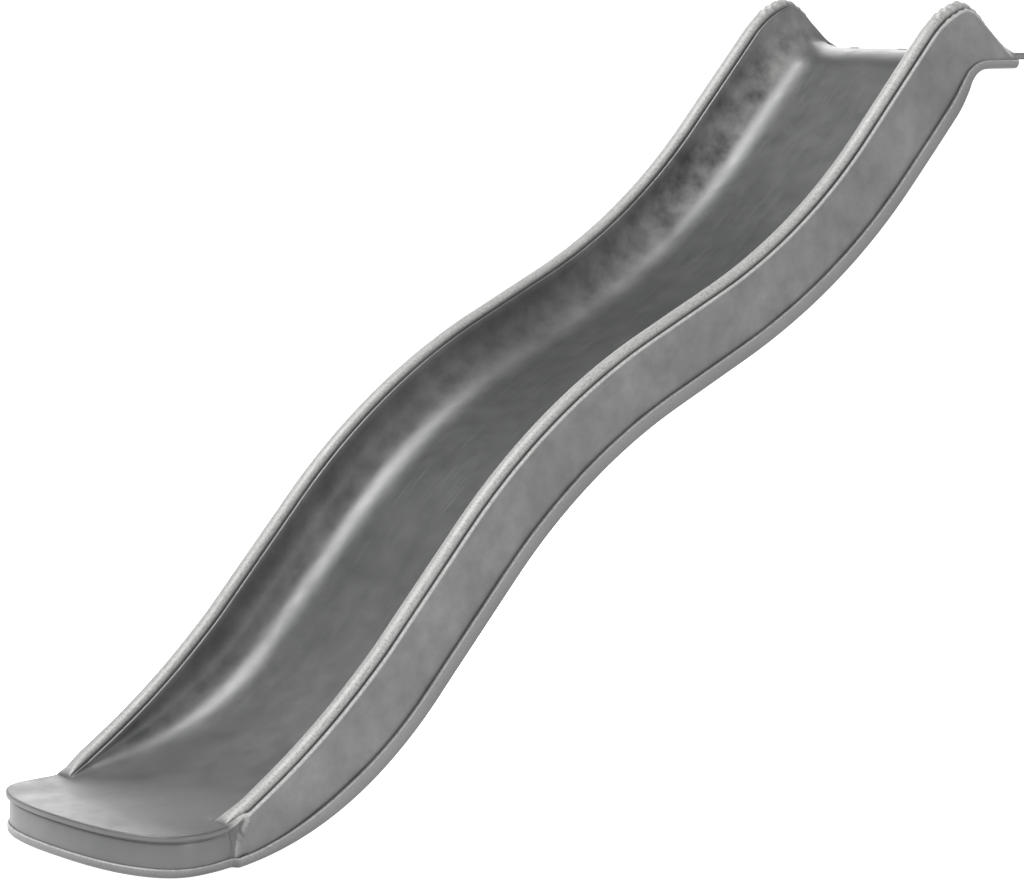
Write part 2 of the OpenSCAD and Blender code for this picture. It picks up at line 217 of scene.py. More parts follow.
@dataclass(frozen=True)
class SlideForm:
    """Sizes that both mouldings share, and how they change along the bed."""

    bed: BedCurve = BedCurve()
    rim_low: float = 0.092
    rim_high: float = 0.096
    rim_x: float = 0.215
    bed_half: float = 0.125
    bead_half: float = 0.0145
    bead_h: float = 0.010
    edge: float = 0.022
    body_t: float = 0.044
    swell_t: float = 0.010
    thin_len: float = 0.5
    head_t: float = 0.028
    wall: float = 0.004
    lean: float = 0.003
    nose_at: float = 0.15
    nose_len: float = 0.4
    nose_sweep: float = 0.03
    panel_proud: float = 0.009
    hump_slope: float = radians(38.0)
    hump_blend: float = 0.03
    lip_t: float = 0.012
    lip_step: float = 0.0005
    band_h: float = 0.026
    band_toe_h: float = 0.014
    band_t: float = 0.006
    band_toe_t: float = 0.003
    band_gap: float = 0.0003
    solid_rim: float = 0.03
    bead_rise: float = 0.026
    ledge_drop: float = 0.003
    fillet_power: float = 0.77
    first_share: float = 0.06
    nose_power: float = 0.7
    least_lean: float = 0.05
    head_before: float = 0.06
    head_after: float = 0.02
    band_rise_len: float = 0.3
    band_swell_len: float = 0.25
    panel_ahead: float = 0.002
    panel_blend: float = 0.008
    fan_steps: int = 56
    fan_from: float = radians(1.5)
    toe_power: float = 0.8

    @property
    def lip_from(self) -> float:
        """Distance along the bed at which the rims and side walls end."""
        return self.bed.body_end - self.wall - self.lip_step

    @property
    def shift_y(self) -> float:
        """How far the whole curve moves along Y to lie in the frame, from the band's front."""
        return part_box("under_shell")[0].y + self.band_gap + self.band_t

    @property
    def head_span(self) -> tuple[float, float]:
        """Where along the bed the body starts and stops to get slim."""
        ends = self.bed.ends()
        return float(ends[7]) - self.head_before, float(ends[8]) + self.head_after

    def head_share(self, s: Array) -> Array:
        """0 on the body and 1 at the head, where the body and its band get slim."""
        start, stop = self.head_span
        return ease((s - start) / (stop - start))

    def depth(self, s: Array) -> Array:
        """Depth of the body below the bed: deep at the toe and on the upper straight, slim at the head.

        Args:
            s: Distances along the bed.

        Returns:
            The toe's height eased down to the body's, a swell eased in, and the head's eased in.
        """
        swell_from = self.bed.ends()[5]
        body = (mix(self.bed.toe_top, self.body_t, ease((s - self.bed.toe_len) / self.thin_len))
                + self.swell_t * ease((s - swell_from) / (self.head_span[0] - swell_from)))
        return mix(body, self.head_t, self.head_share(s))

    def band_height(self, s: Array) -> Array:
        """Height of the band, low round the toe and tall along the sides."""
        grown = ease((s - self.bed.toe_len) / self.band_rise_len)
        body = mix(self.band_toe_h, self.band_h, grown)
        return mix(body, self.head_t - self.lip_t, self.head_share(s))

    def band_depth(self, s: Array) -> Array:
        """Thickness of the band, slim round the toe and halved at the head."""
        grown = ease((s - self.bed.toe_len) / self.band_swell_len)
        body = mix(self.band_toe_t, self.band_t, grown)
        return mix(body, self.band_t / 2.0, self.head_share(s))

    def rim_height(self, s: Array) -> Array:
        """Height of the rim above the bed.

        A sine to the nose power lifts it from the nose, a straight line takes it up to the
        head, and the rear face of the hump, a plane at a fixed slope, brings it down again.

        Args:
            s: Distances along the bed.

        Returns:
            Heights, 0 on the toe and on the lip.
        """
        y, z, slope = self.bed.at(s)
        foot_y, foot_z, _ = self.bed.at(np.array([self.lip_from]))
        fall = tan(self.hump_slope)
        lean_in = np.cos(slope) - np.sin(slope) * fall
        room = np.where(lean_in < self.least_lean, 1.0,
                        ((foot_y - y) * fall - (z - foot_z)) / np.maximum(lean_in, self.least_lean))
        lift = np.sin(pi / 2.0 * clamp((s - self.nose_at) / self.nose_len)) ** self.nose_power
        full = mix(self.rim_low, self.rim_high, s / self.bed.lip_end) * lift
        height = np.maximum(soft_min(full, room, self.hump_blend), 0.0)
        return np.where((s <= self.nose_at) | (s >= self.lip_from), 0.0, height)

    def rim_levels(self, s: Array) -> tuple[Array, Array, Array]:
        """Levels of the rim's section, whose bead and ledges grow as the rim rises.

        Args:
            s: Distances along the bed.

        Returns:
            Height of the rim, how far its bead has grown from 0 to 1, and height of its ledges.
        """
        height = self.rim_height(s)
        grown = clamp(height / self.bead_rise)
        return height, grown, height - (self.bead_h + self.ledge_drop) * grown

    def panel_share(self, s: Array, h: Array) -> Array:
        """How far a point belongs to the side panel, whose front edge sweeps back as it rises.

        Args:
            s: Distances along the bed.
            h: Heights above the bed.

        Returns:
            0 on the toe's skirt and 1 on the side panel.
        """
        rise = clamp(1.0 + h / self.bed.toe_top)
        front = self.nose_at + self.nose_sweep * rise * rise
        return ease((s - front + self.panel_ahead) / self.panel_blend)

    def squeeze(self, x: Array, share: Array) -> Array:
        """Draw a width in towards the bed where the toe's skirt is set in from the panels.

        Args:
            x: Distances across.
            share: 0 on the skirt and 1 on the panel.

        Returns:
            Distances across, scaled beyond the bed's flat and left alone on it.
        """
        span = self.rim_x + self.edge - self.bed_half
        drawn = self.bed_half + (x - self.bed_half) * (1.0 - self.panel_proud * (1.0 - share) / span)
        return np.where(x <= self.bed_half, x, drawn)

    def place(self, s: Array, fan: Array, x: Array, h: Array) -> Array:
        """Put section points on the slide.

        A station stands square to the bed. Round the toe the stations fan out instead: x
        shrinks by the sine of the fan angle and the point moves forward by its cosine times
        the toe's reach, both raised to the power that squares the corners a little.

        Args:
            s: Distance along the bed, one value a station or a point.
            fan: Fan angle in radians, a quarter turn beyond the toe.
            x: Distance across, shape (stations, points).
            h: Height above the bed, same shape.

        Returns:
            Points of shape (stations, points, 3).
        """
        s = np.broadcast_to(s, x.shape)
        y, z, slope = self.bed.at(s.ravel())
        y, z, slope = (v.reshape(x.shape) for v in (y, z, slope))
        toe_half = self.rim_x + self.edge - self.panel_proud
        inner = (self.bed.toe_len - self.solid_rim) * x / (toe_half - self.solid_rim)
        reach = np.where(x > toe_half - self.solid_rim, self.bed.toe_len - toe_half + x, inner)
        forward = (np.maximum(np.cos(fan), 0.0) / cos(self.fan_from)) ** self.toe_power * reach
        return np.stack([x * np.sin(fan) ** self.toe_power,
                         y - forward - h * np.sin(slope) + self.shift_y,
                         z + h * np.cos(slope)], axis=-1)

    def sections(self, stops: list[float], steps: list[int], end: Array) -> tuple[Array, Array]:
        """Places of a moulding's sections: a fan round the toe, even steps between stops, an end.

        Args:
            stops: Distances along the bed at which the spacing changes, the first at the fan.
            steps: Number of sections from each stop to the next.
            end: Distances along the bed of the last sections.

        Returns:
            Distances along the bed and fan angles.
        """
        fan = np.linspace(self.fan_from, pi / 2.0, self.fan_steps)
        spans = [np.linspace(a, b, n + 1)[1:] for a, b, n in zip(stops[:-1], stops[1:], steps)]
        s = np.concatenate([np.full(self.fan_steps, stops[0]), *spans, end])
        return s, np.concatenate([fan, np.full(len(s) - self.fan_steps, pi / 2.0)])

    def frame_at(self, s: float, x: float, h: float) -> Matrix:
        """Place of a fitting that stands square to the bed.

        Args:
            s: Distance along the bed.
            x: Distance across.
            h: Height above the bed.

        Returns:
            The turn and the move, as one matrix.
        """
        point = self.place(np.array([[s]]), np.array([[pi / 2.0]]), np.array([[x]]),
                           np.array([[h]]))[0, 0]
        slope = float(self.bed.at(np.array([s]))[2][0])
        return Matrix.Translation(Vector(point)) @ Euler((slope, 0.0, 0.0)).to_matrix().to_4x4()


# ---------------------------------------------------------------- meshes
def quads_between(rows: int, columns: int, first: int = 0) -> Indices:
    """Quads of a grid of points, as rows of four indices."""
    corner = first + np.arange(rows - 1)[:, None] * columns + np.arange(columns - 1)[None, :]
    return np.stack([corner, corner + columns, corner + columns + 1, corner + 1], -1).reshape(-1, 4)


def mirrored_rows(half: Array) -> Array:
    """Whole rows from half rows: the half turned over to the left, then the half itself."""
    left = half[:, ::-1] * np.array([-1.0, 1.0, 1.0])
    return np.concatenate([left, half], axis=1)


def toe_strip(columns: int, first: int = 0) -> Indices:
    """Quads that close the front of a skin across the middle of the toe."""
    j = np.arange(columns // 2 - 1)
    return first + np.stack([j, j + 1, columns - 2 - j, columns - 1 - j], -1)


def hem_between(rows: int, outer: int, inner: int, inner_first: int) -> Indices:
    """Quads that join the edges of two skins along both sides and round the toe.

    Args:
        rows: Number of stations.
        outer: Outer points a station.
        inner: Inner points a station.
        inner_first: Index of the inner skin's first point.

    Returns:
        Rows of four indices.
    """
    i = np.arange(rows - 1)
    left = np.stack([i * outer, inner_first + i * inner, inner_first + (i + 1) * inner,
                     (i + 1) * outer], -1)
    a, b = outer - 1, inner_first + inner - 1
    right = np.stack([a + i * outer, a + (i + 1) * outer, b + (i + 1) * inner, b + i * inner], -1)
    front = np.array([[0, outer - 1, inner_first + inner - 1, inner_first]])
    return np.concatenate([left, right, front])


def two_skins(outer: Array, inner: Array) -> tuple[Array, list[Indices]]:
    """Join an outer and an inner skin into a hollow body that is open only at its far end.

    Args:
        outer: Outer points, shape (stations, points, 3).
        inner: Inner points, shape (stations, points, 3).

    Returns:
        All points, the outer ones first, and groups of faces.
    """
    m, n, p = len(outer), outer.shape[1], inner.shape[1]
    points = np.concatenate([outer.reshape(-1, 3), inner.reshape(-1, 3)])
    return points, [quads_between(m, n), toe_strip(n), quads_between(m, p, m * n)[:, ::-1],
                    toe_strip(p, m * n)[:, ::-1], hem_between(m, n, p, m * n)]


def laced(a_first: int, a_count: int, b_first: int, b_count: int) -> Indices:
    """Triangles laced between two rows of points with different counts.

    Each edge of row a goes to the point of row b that is as far along, and each edge of
    row b to the point of row a where the lacing turns.

    Args:
        a_first: Index of row a's first point.
        a_count: Points in row a.
        b_first: Index of row b's first point.
        b_count: Points in row b.

    Returns:
        Rows of three indices.
    """
    turn = np.round((np.arange(b_count - 1) + 0.5) * (a_count - 1) / (b_count - 1)).astype(int)
    j = np.arange(a_count - 1)
    over = np.stack([a_first + j + 1, a_first + j,
                     b_first + np.searchsorted(turn, j, side="right")], -1)
    i = np.arange(b_count - 1)
    back = np.stack([b_first + i, b_first + i + 1, a_first + turn], -1)
    return np.concatenate([over, back])


def outward(points: Array, faces: list[Indices]) -> list[Indices]:
    """Turn faces over if the volume that they enclose comes out negative.

    Args:
        points: All points, shape (points, 3).
        faces: Groups of faces with equal numbers of corners.

    Returns:
        The groups, facing outwards.
    """
    corner = np.concatenate([np.concatenate([f[:, [0, k, k + 1]] for k in range(1, f.shape[1] - 1)])
                             for f in faces])
    a, b, c = (points[corner[:, k]] for k in range(3))
    volume = np.einsum("ij,ij->i", a, np.cross(b, c)).sum()
    return faces if volume > 0.0 else [f[:, ::-1] for f in faces]


def make_piece(name: str, points: Array, faces: list[Indices]) -> bpy.types.Object:
    """Make a smooth mesh object, with edges sharper than the crease angle kept sharp.

    Args:
        name: Name of the piece.
        points: All points, shape (points, 3).
        faces: Groups of faces with equal numbers of corners.

    Returns:
        The object, at the origin and in the scene.
    """
    mesh = bpy.data.meshes.new(name)
    mesh.from_pydata(points.tolist(), [], [row for f in outward(points, faces) for row in f.tolist()])
    mesh.validate()
    mesh.shade_smooth()
    mesh.set_sharp_from_angle(angle=CREASE)
    piece = bpy.data.objects.new(name, mesh)
    bpy.context.scene.collection.objects.link(piece)
    return piece


def middle_y(node: str) -> float:
    """Y of the middle of a CAD node's box."""
    low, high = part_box(node)
    return (low.y + high.y) / 2.0


def set_point_values(piece: bpy.types.Object, name: str, values: Array) -> None:
    """Store one number a point as a named attribute, which materials read."""
    layer = piece.data.attributes.new(name, "FLOAT", "POINT")
    layer.data.foreach_set("value", values.astype(np.float32).ravel())


def set_point_uv(piece: bpy.types.Object, name: str, uv: Array) -> None:
    """Store a UV map, in metres.

    Args:
        piece: The piece that gets the map.
        name: Name of the map.
        uv: One pair of numbers a point.
    """
    layer = piece.data.uv_layers.new(name=name)
    corner = np.zeros(len(piece.data.loops), np.int64)
    piece.data.loops.foreach_get("vertex_index", corner)
    layer.data.foreach_set("uv", uv[corner].astype(np.float32).ravel())


def turned(profile: Array, sides: int, hexed: Array | None = None) -> tuple[Array, Indices]:
    """Turn a profile about Z: x = r cos a, y = r sin a, with the radius drawn out to a hexagon.

    Args:
        profile: Radii and heights, shape (points, 2), with radius 0 at both ends.
        sides: Number of steps round.
        hexed: Share of a hexagon in each radius, or None for a round piece.

    Returns:
        Points and quads.
    """
    angle = np.arange(sides) * 2.0 * pi / sides
    six = 1.0 / np.cos(np.mod(angle + pi / 6.0, pi / 3.0) - pi / 6.0)
    share = np.zeros(len(profile)) if hexed is None else hexed
    radius = profile[None, :, 0] * (1.0 + share[None, :] * (six[:, None] - 1.0))
    height = np.broadcast_to(profile[None, :, 1], radius.shape)
    points = np.stack([radius * np.cos(angle)[:, None], radius * np.sin(angle)[:, None], height], -1)
    quads = quads_between(sides + 1, len(profile)) % (sides * len(profile))
    return points.reshape(-1, 3), quads


def set_of(name: str, points: Array, quads: Indices, places: list[Matrix]) -> bpy.types.Object:
    """Make one object that holds a copy of a turned piece at each place, with its poles closed.

    Args:
        name: Name of the piece.
        points: Points of one copy.
        quads: Faces of one copy.
        places: Where the copies stand.

    Returns:
        The object, at the origin.
    """
    flat = np.concatenate([points, np.ones((len(points), 1))], axis=1)
    placed = np.concatenate([(flat @ np.array(m).T)[:, :3] for m in places])
    faces = np.concatenate([quads + i * len(points) for i in range(len(places))])
    piece = make_piece(name, placed, [faces])
    work = bmesh.new()
    work.from_mesh(piece.data)
    bmesh.ops.remove_doubles(work, verts=work.verts, dist=WELD)
    work.to_mesh(piece.data)
    work.free()
    piece.data.set_sharp_from_angle(angle=CREASE)
    return piece


def drill(piece: bpy.types.Object, holes: list[tuple[Vector, float, float]]) -> None:
    """Cut upright round holes that don't meet each other out of a piece.

    Args:
        piece: The piece to cut.
        holes: Lowest point on the axis, radius and height of each hole.
    """
    work = bmesh.new()
    for low, radius, height in holes:
        middle = Matrix.Translation(low + Vector((0.0, 0.0, height / 2.0)))
        bmesh.ops.create_cone(work, cap_ends=True, segments=48, radius1=radius, radius2=radius,
                              depth=height, matrix=middle)
    mesh = bpy.data.meshes.new("drill")
    work.to_mesh(mesh)
    work.free()
    tool = bpy.data.objects.new("drill", mesh)
    bpy.context.scene.collection.objects.link(tool)
    cut = piece.modifiers.new("drill", "BOOLEAN")
    cut.operation = "DIFFERENCE"
    cut.solver = "EXACT"
    cut.object = tool
    bpy.context.view_layer.update()
    whole = bpy.data.meshes.new_from_object(piece.evaluated_get(bpy.context.evaluated_depsgraph_get()))
    piece.modifiers.clear()
    piece.data = whole
    bpy.data.objects.remove(tool)


# ---------------------------------------------------------------- finishes
class Wear(Enum):
    """Names of the point values that tell a finish where a moulding is worn, and where it gets painted
    highlights.
    """

    # Pale bead tops, partly real rubbing and partly painted highlight, and painted highlights along the
    # ledge, panel and band edges.
    WEAR_AND_HIGHLIGHT = "wear_and_highlight"
    TRAFFIC = "traffic"
    HANDLED = "handled"


class Recipe:
    """A material under construction, with short ways to add and join its nodes."""

    def __init__(self, name: str) -> None:
        """Start an empty node tree with a Principled shader and an output."""
        self.material = bpy.data.materials.new(name)
        self.material.use_nodes = True
        self.tree = self.material.node_tree
        self.tree.nodes.clear()
        self.shader = self.add("ShaderNodeBsdfPrincipled")
        output = self.add("ShaderNodeOutputMaterial")
        self.join(self.shader.outputs["BSDF"], output.inputs["Surface"])

    def add(self, kind: str, inputs: dict[str, object] | None = None, **settings: object
            ) -> bpy.types.Node:
        """Add a node.

        Args:
            kind: Blender's name of the node's type.
            inputs: Values of input sockets, by name.
            settings: Properties of the node.

        Returns:
            The node.
        """
        node = self.tree.nodes.new(kind)
        for key, value in settings.items():
            setattr(node, key, value)
        for key, value in (inputs or {}).items():
            node.inputs[key].default_value = value
        return node

    def join(self, source: bpy.types.NodeSocket, target: bpy.types.NodeSocket) -> None:
        """Link an output to an input."""
        self.tree.links.new(source, target)

    def noise(self, vector: bpy.types.NodeSocket, scale: float, detail: float,
              rough: float = 0.5) -> bpy.types.NodeSocket:
        """Add fractal noise.

        Args:
            vector: Coordinates that it reads.
            scale: Lumps a metre.
            detail: Number of finer layers.
            rough: Share of the finer layers.

        Returns:
            A value from 0 to 1.
        """
        node = self.add("ShaderNodeTexNoise", {"Scale": scale, "Detail": detail, "Roughness": rough})
        self.join(vector, node.inputs["Vector"])
        return node.outputs["Fac"]

    def remap(self, value: bpy.types.NodeSocket, low: float, high: float, to_low: float,
              to_high: float) -> bpy.types.NodeSocket:
        """Stretch a value from one range to another.

        Args:
            value: The value.
            low: Bottom of its range.
            high: Top of its range.
            to_low: Bottom of the new range.
            to_high: Top of the new range.

        Returns:
            The value, held within the new range.
        """
        node = self.add("ShaderNodeMapRange", {"From Min": low, "From Max": high,
                                               "To Min": to_low, "To Max": to_high})
        self.join(value, node.inputs["Value"])
        return node.outputs["Result"]

    def maths(self, operation: str, a: bpy.types.NodeSocket, b: bpy.types.NodeSocket | float
              ) -> bpy.types.NodeSocket:
        """Put two values together.

        Args:
            operation: Blender's name of the operation.
            a: First value.
            b: Second value.

        Returns:
            The result.
        """
        node = self.add("ShaderNodeMath", operation=operation)
        self.join(a, node.inputs[0])
        if isinstance(b, float):
            node.inputs[1].default_value = b
        else:
            self.join(b, node.inputs[1])
        return node.outputs["Value"]

    def blend(self, share: bpy.types.NodeSocket, a: tuple[float, float, float] | bpy.types.NodeSocket,
              b: tuple[float, float, float]) -> bpy.types.NodeSocket:
        """Mix two colours.

        Args:
            share: 0 for the first colour and 1 for the second.
            a: First colour.
            b: Second colour.

        Returns:
            The colour between them.
        """
        node = self.add("ShaderNodeMix", data_type="RGBA")
        self.join(share, node.inputs["Factor"])
        if isinstance(a, tuple):
            node.inputs[6].default_value = (*a, 1.0)
        else:
            self.join(a, node.inputs[6])
        node.inputs[7].default_value = (*b, 1.0)
        return node.outputs[2]

    def point_value(self, name: str) -> bpy.types.NodeSocket:
        """A number stored on the surface's points."""
        return self.add("ShaderNodeAttribute", attribute_name=name).outputs["Fac"]

    def place_on(self) -> bpy.types.NodeSocket:
        """Coordinates fixed to the object, in metres."""
        return self.add("ShaderNodeTexCoord").outputs["Object"]

    def relief(self, height: bpy.types.NodeSocket, depth: float) -> bpy.types.NodeSocket:
        """Bend the surface's normals by a height map.

        Args:
            height: The map, from 0 to 1.
            depth: Metres that 1 stands above 0.

        Returns:
            The bent normal.
        """
        node = self.add("ShaderNodeBump", {"Strength": 1.0, "Distance": depth})
        self.join(height, node.inputs["Height"])
        return node.outputs["Normal"]


@dataclass(frozen=True)
class MouldedPlastic:
    """Satin polyethylene: cloudy grey, polished dark where it is slid on, pale where it is held, pale
    on rubbed beads, and with painted highlights on the beads and lit edges.
    """

    name: str
    deep: tuple[float, float, float] = (0.060, 0.061, 0.061)
    cloud: tuple[float, float, float] = (0.104, 0.105, 0.104)
    # Pale grey of the rubbed bead tops, also used as a painted highlight on the beads and on lit edges.
    rubbed_and_highlight: tuple[float, float, float] = (0.44, 0.44, 0.43)
    polished: tuple[float, float, float] = (0.028, 0.029, 0.029)
    rough_low: float = 0.33
    rough_high: float = 0.46
    handled: tuple[float, float, float] = (0.26, 0.26, 0.256)
    worn_rough: float = 0.15
    slid_share: float = 0.8
    scuff_share: float = 0.55
    drift_scale: float = 5.0
    patch_scale: float = 22.0
    hatch_scale: float = 260.0
    swell_scale: float = 11.0
    scuff_stretch: tuple[float, float, float] = (420.0, 7.0, 1.0)
    wave_depth: float = 0.0016
    ior: float = 1.58
    uv: str = "moulding"

    def make(self) -> bpy.types.Material:
        """Build the material.

        Broad noise drifts the grey and the gloss, a slow swell bends the reflections as a
        cooling shrink does, long noise drawn out along the bed makes the slide marks, the
        handled value brings up pale smears, and the wear-and-highlight value pales the beads, partly as
        real rubbing and partly as painted highlight, and paints highlights on lit edges.

        Returns:
            The material.
        """
        r = Recipe(self.name)
        where = r.place_on()
        drift = r.noise(where, self.drift_scale, 3.0, 0.5)
        patch = r.noise(where, self.patch_scale, 4.0, 0.6)
        cloudy = r.maths("MULTIPLY", r.remap(drift, 0.36, 0.66, 0.0, 1.0),
                         r.remap(patch, 0.3, 0.7, 0.5, 1.0))
        colour = r.blend(cloudy, self.deep, self.cloud)
        slid = r.maths("MULTIPLY", r.point_value(Wear.TRAFFIC.value), self.slid_share)
        colour = r.blend(slid, colour, self.polished)
        smear = r.noise(where, self.patch_scale, 5.0, 0.6)
        smears = r.maths("MULTIPLY", r.remap(smear, 0.32, 0.74, 0.0, 1.0),
                         r.point_value(Wear.HANDLED.value))
        colour = r.blend(smears, colour, self.handled)
        along = r.add("ShaderNodeMapping", {"Scale": self.scuff_stretch})
        r.join(r.add("ShaderNodeUVMap", uv_map=self.uv).outputs["UV"], along.inputs["Vector"])
        lines = r.noise(along.outputs["Vector"], 1.0, 3.0, 0.55)
        scuffs = r.maths("MULTIPLY", r.remap(lines, 0.58, 0.74, 0.0, self.scuff_share),
                         r.point_value(Wear.TRAFFIC.value))
        colour = r.blend(scuffs, colour, self.cloud)
        # Pale hatched colour from the wear-and-highlight value: real rubbing and painted highlight on
        # the beads, painted highlight on lit edges.
        hatch = r.noise(where, self.hatch_scale, 3.0, 0.7)
        rubbed_and_highlight = r.maths("MULTIPLY", r.remap(hatch, 0.32, 0.62, 0.45, 1.0),
                         r.point_value(Wear.WEAR_AND_HIGHLIGHT.value))
        colour = r.blend(rubbed_and_highlight, colour, self.rubbed_and_highlight)
        r.join(colour, r.shader.inputs["Base Color"])
        gloss = r.maths("ADD", r.remap(patch, 0.25, 0.75, self.rough_low, self.rough_high),
                        r.maths("MULTIPLY", r.maths("ADD", scuffs, rubbed_and_highlight), self.worn_rough))
        r.join(gloss, r.shader.inputs["Roughness"])
        swell = r.relief(r.noise(where, self.swell_scale, 2.0, 0.45), self.wave_depth)
        r.join(swell, r.shader.inputs["Normal"])
        r.shader.inputs["IOR"].default_value = self.ior
        return r.material


@dataclass(frozen=True)
class PlatedSteel:
    """Zinc-plated or galvanised steel, with a grain of fine drawn lines and pale bloom."""

    name: str
    bright: tuple[float, float, float] = (0.62, 0.63, 0.65)
    bloom: tuple[float, float, float] = (0.42, 0.43, 0.44)
    rough_low: float = 0.28
    rough_high: float = 0.48
    stretch: tuple[float, float, float] = (60.0, 900.0, 900.0)
    bloom_scale: float = 120.0
    line_depth: float = 0.00002

    def make(self) -> bpy.types.Material:
        """Build the material from drawn-out noise for the lines and round noise for the bloom.

        Returns:
            The material.
        """
        r = Recipe(self.name)
        where = r.place_on()
        bloom = r.noise(where, self.bloom_scale, 4.0, 0.6)
        r.join(r.blend(r.remap(bloom, 0.35, 0.65, 0.0, 1.0), self.bright, self.bloom),
               r.shader.inputs["Base Color"])
        r.join(r.remap(bloom, 0.3, 0.7, self.rough_low, self.rough_high),
               r.shader.inputs["Roughness"])
        drawn = r.add("ShaderNodeMapping", {"Scale": self.stretch})
        r.join(where, drawn.inputs["Vector"])
        r.join(r.relief(r.noise(drawn.outputs["Vector"], 1.0, 2.0), self.line_depth),
               r.shader.inputs["Normal"])
        r.shader.inputs["Metallic"].default_value = 1.0
        return r.material


@dataclass(frozen=True)
class SoftMoulding:
    """Nylon or rubber with a pebbled skin and a little dust."""

    name: str
    base: tuple[float, float, float] = (0.030, 0.030, 0.032)
    dust: tuple[float, float, float] = (0.075, 0.074, 0.072)
    rough: float = 0.55
    pebble: float = 0.00008
    pebble_scale: float = 1400.0
    dust_scale: float = 180.0

    def make(self) -> bpy.types.Material:
        """Build the material from pebble-sized noise and a broad drift of dust.

        Returns:
            The material.
        """
        r = Recipe(self.name)
        where = r.place_on()
        dusty = r.remap(r.noise(where, self.dust_scale, 3.0), 0.45, 0.7, 0.0, 1.0)
        r.join(r.blend(dusty, self.base, self.dust), r.shader.inputs["Base Color"])
        skin = r.noise(where, self.pebble_scale, 2.0)
        r.join(r.relief(skin, self.pebble), r.shader.inputs["Normal"])
        r.shader.inputs["Roughness"].default_value = self.rough
        return r.material


def dress(piece: bpy.types.Object, material: bpy.types.Material) -> None:
    """Give a piece its only material.

    Args:
        piece: The piece.
        material: Its material.
    """
    piece.data.materials.clear()
    piece.data.materials.append(material)


def stand_for(piece: bpy.types.Object, node: str) -> None:
    """Put a new piece in place of a CAD node, on the slide's one body.

    Args:
        piece: The new piece.
        node: Name of the CAD node.
    """
    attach(piece, "root")
    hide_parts(node)
    LOG.info("%s stands for %s: %d faces", piece.name, node, len(piece.data.polygons))


class Assembly:
    """A sub-assembly that makes one piece and lets it stand for one CAD node."""

    node: ClassVar[str]
    slot: ClassVar[str]

    def build(self) -> bpy.types.Object:
        """Make the piece."""
        raise NotImplementedError

    def fit(self, material: bpy.types.Material) -> bpy.types.Object:
        """Build the piece, dress it and put it in place.

        Args:
            material: The piece's finish.

        Returns:
            The finished piece.
        """
        piece = self.build()
        dress(piece, material)
        stand_for(piece, self.node)
        return piece


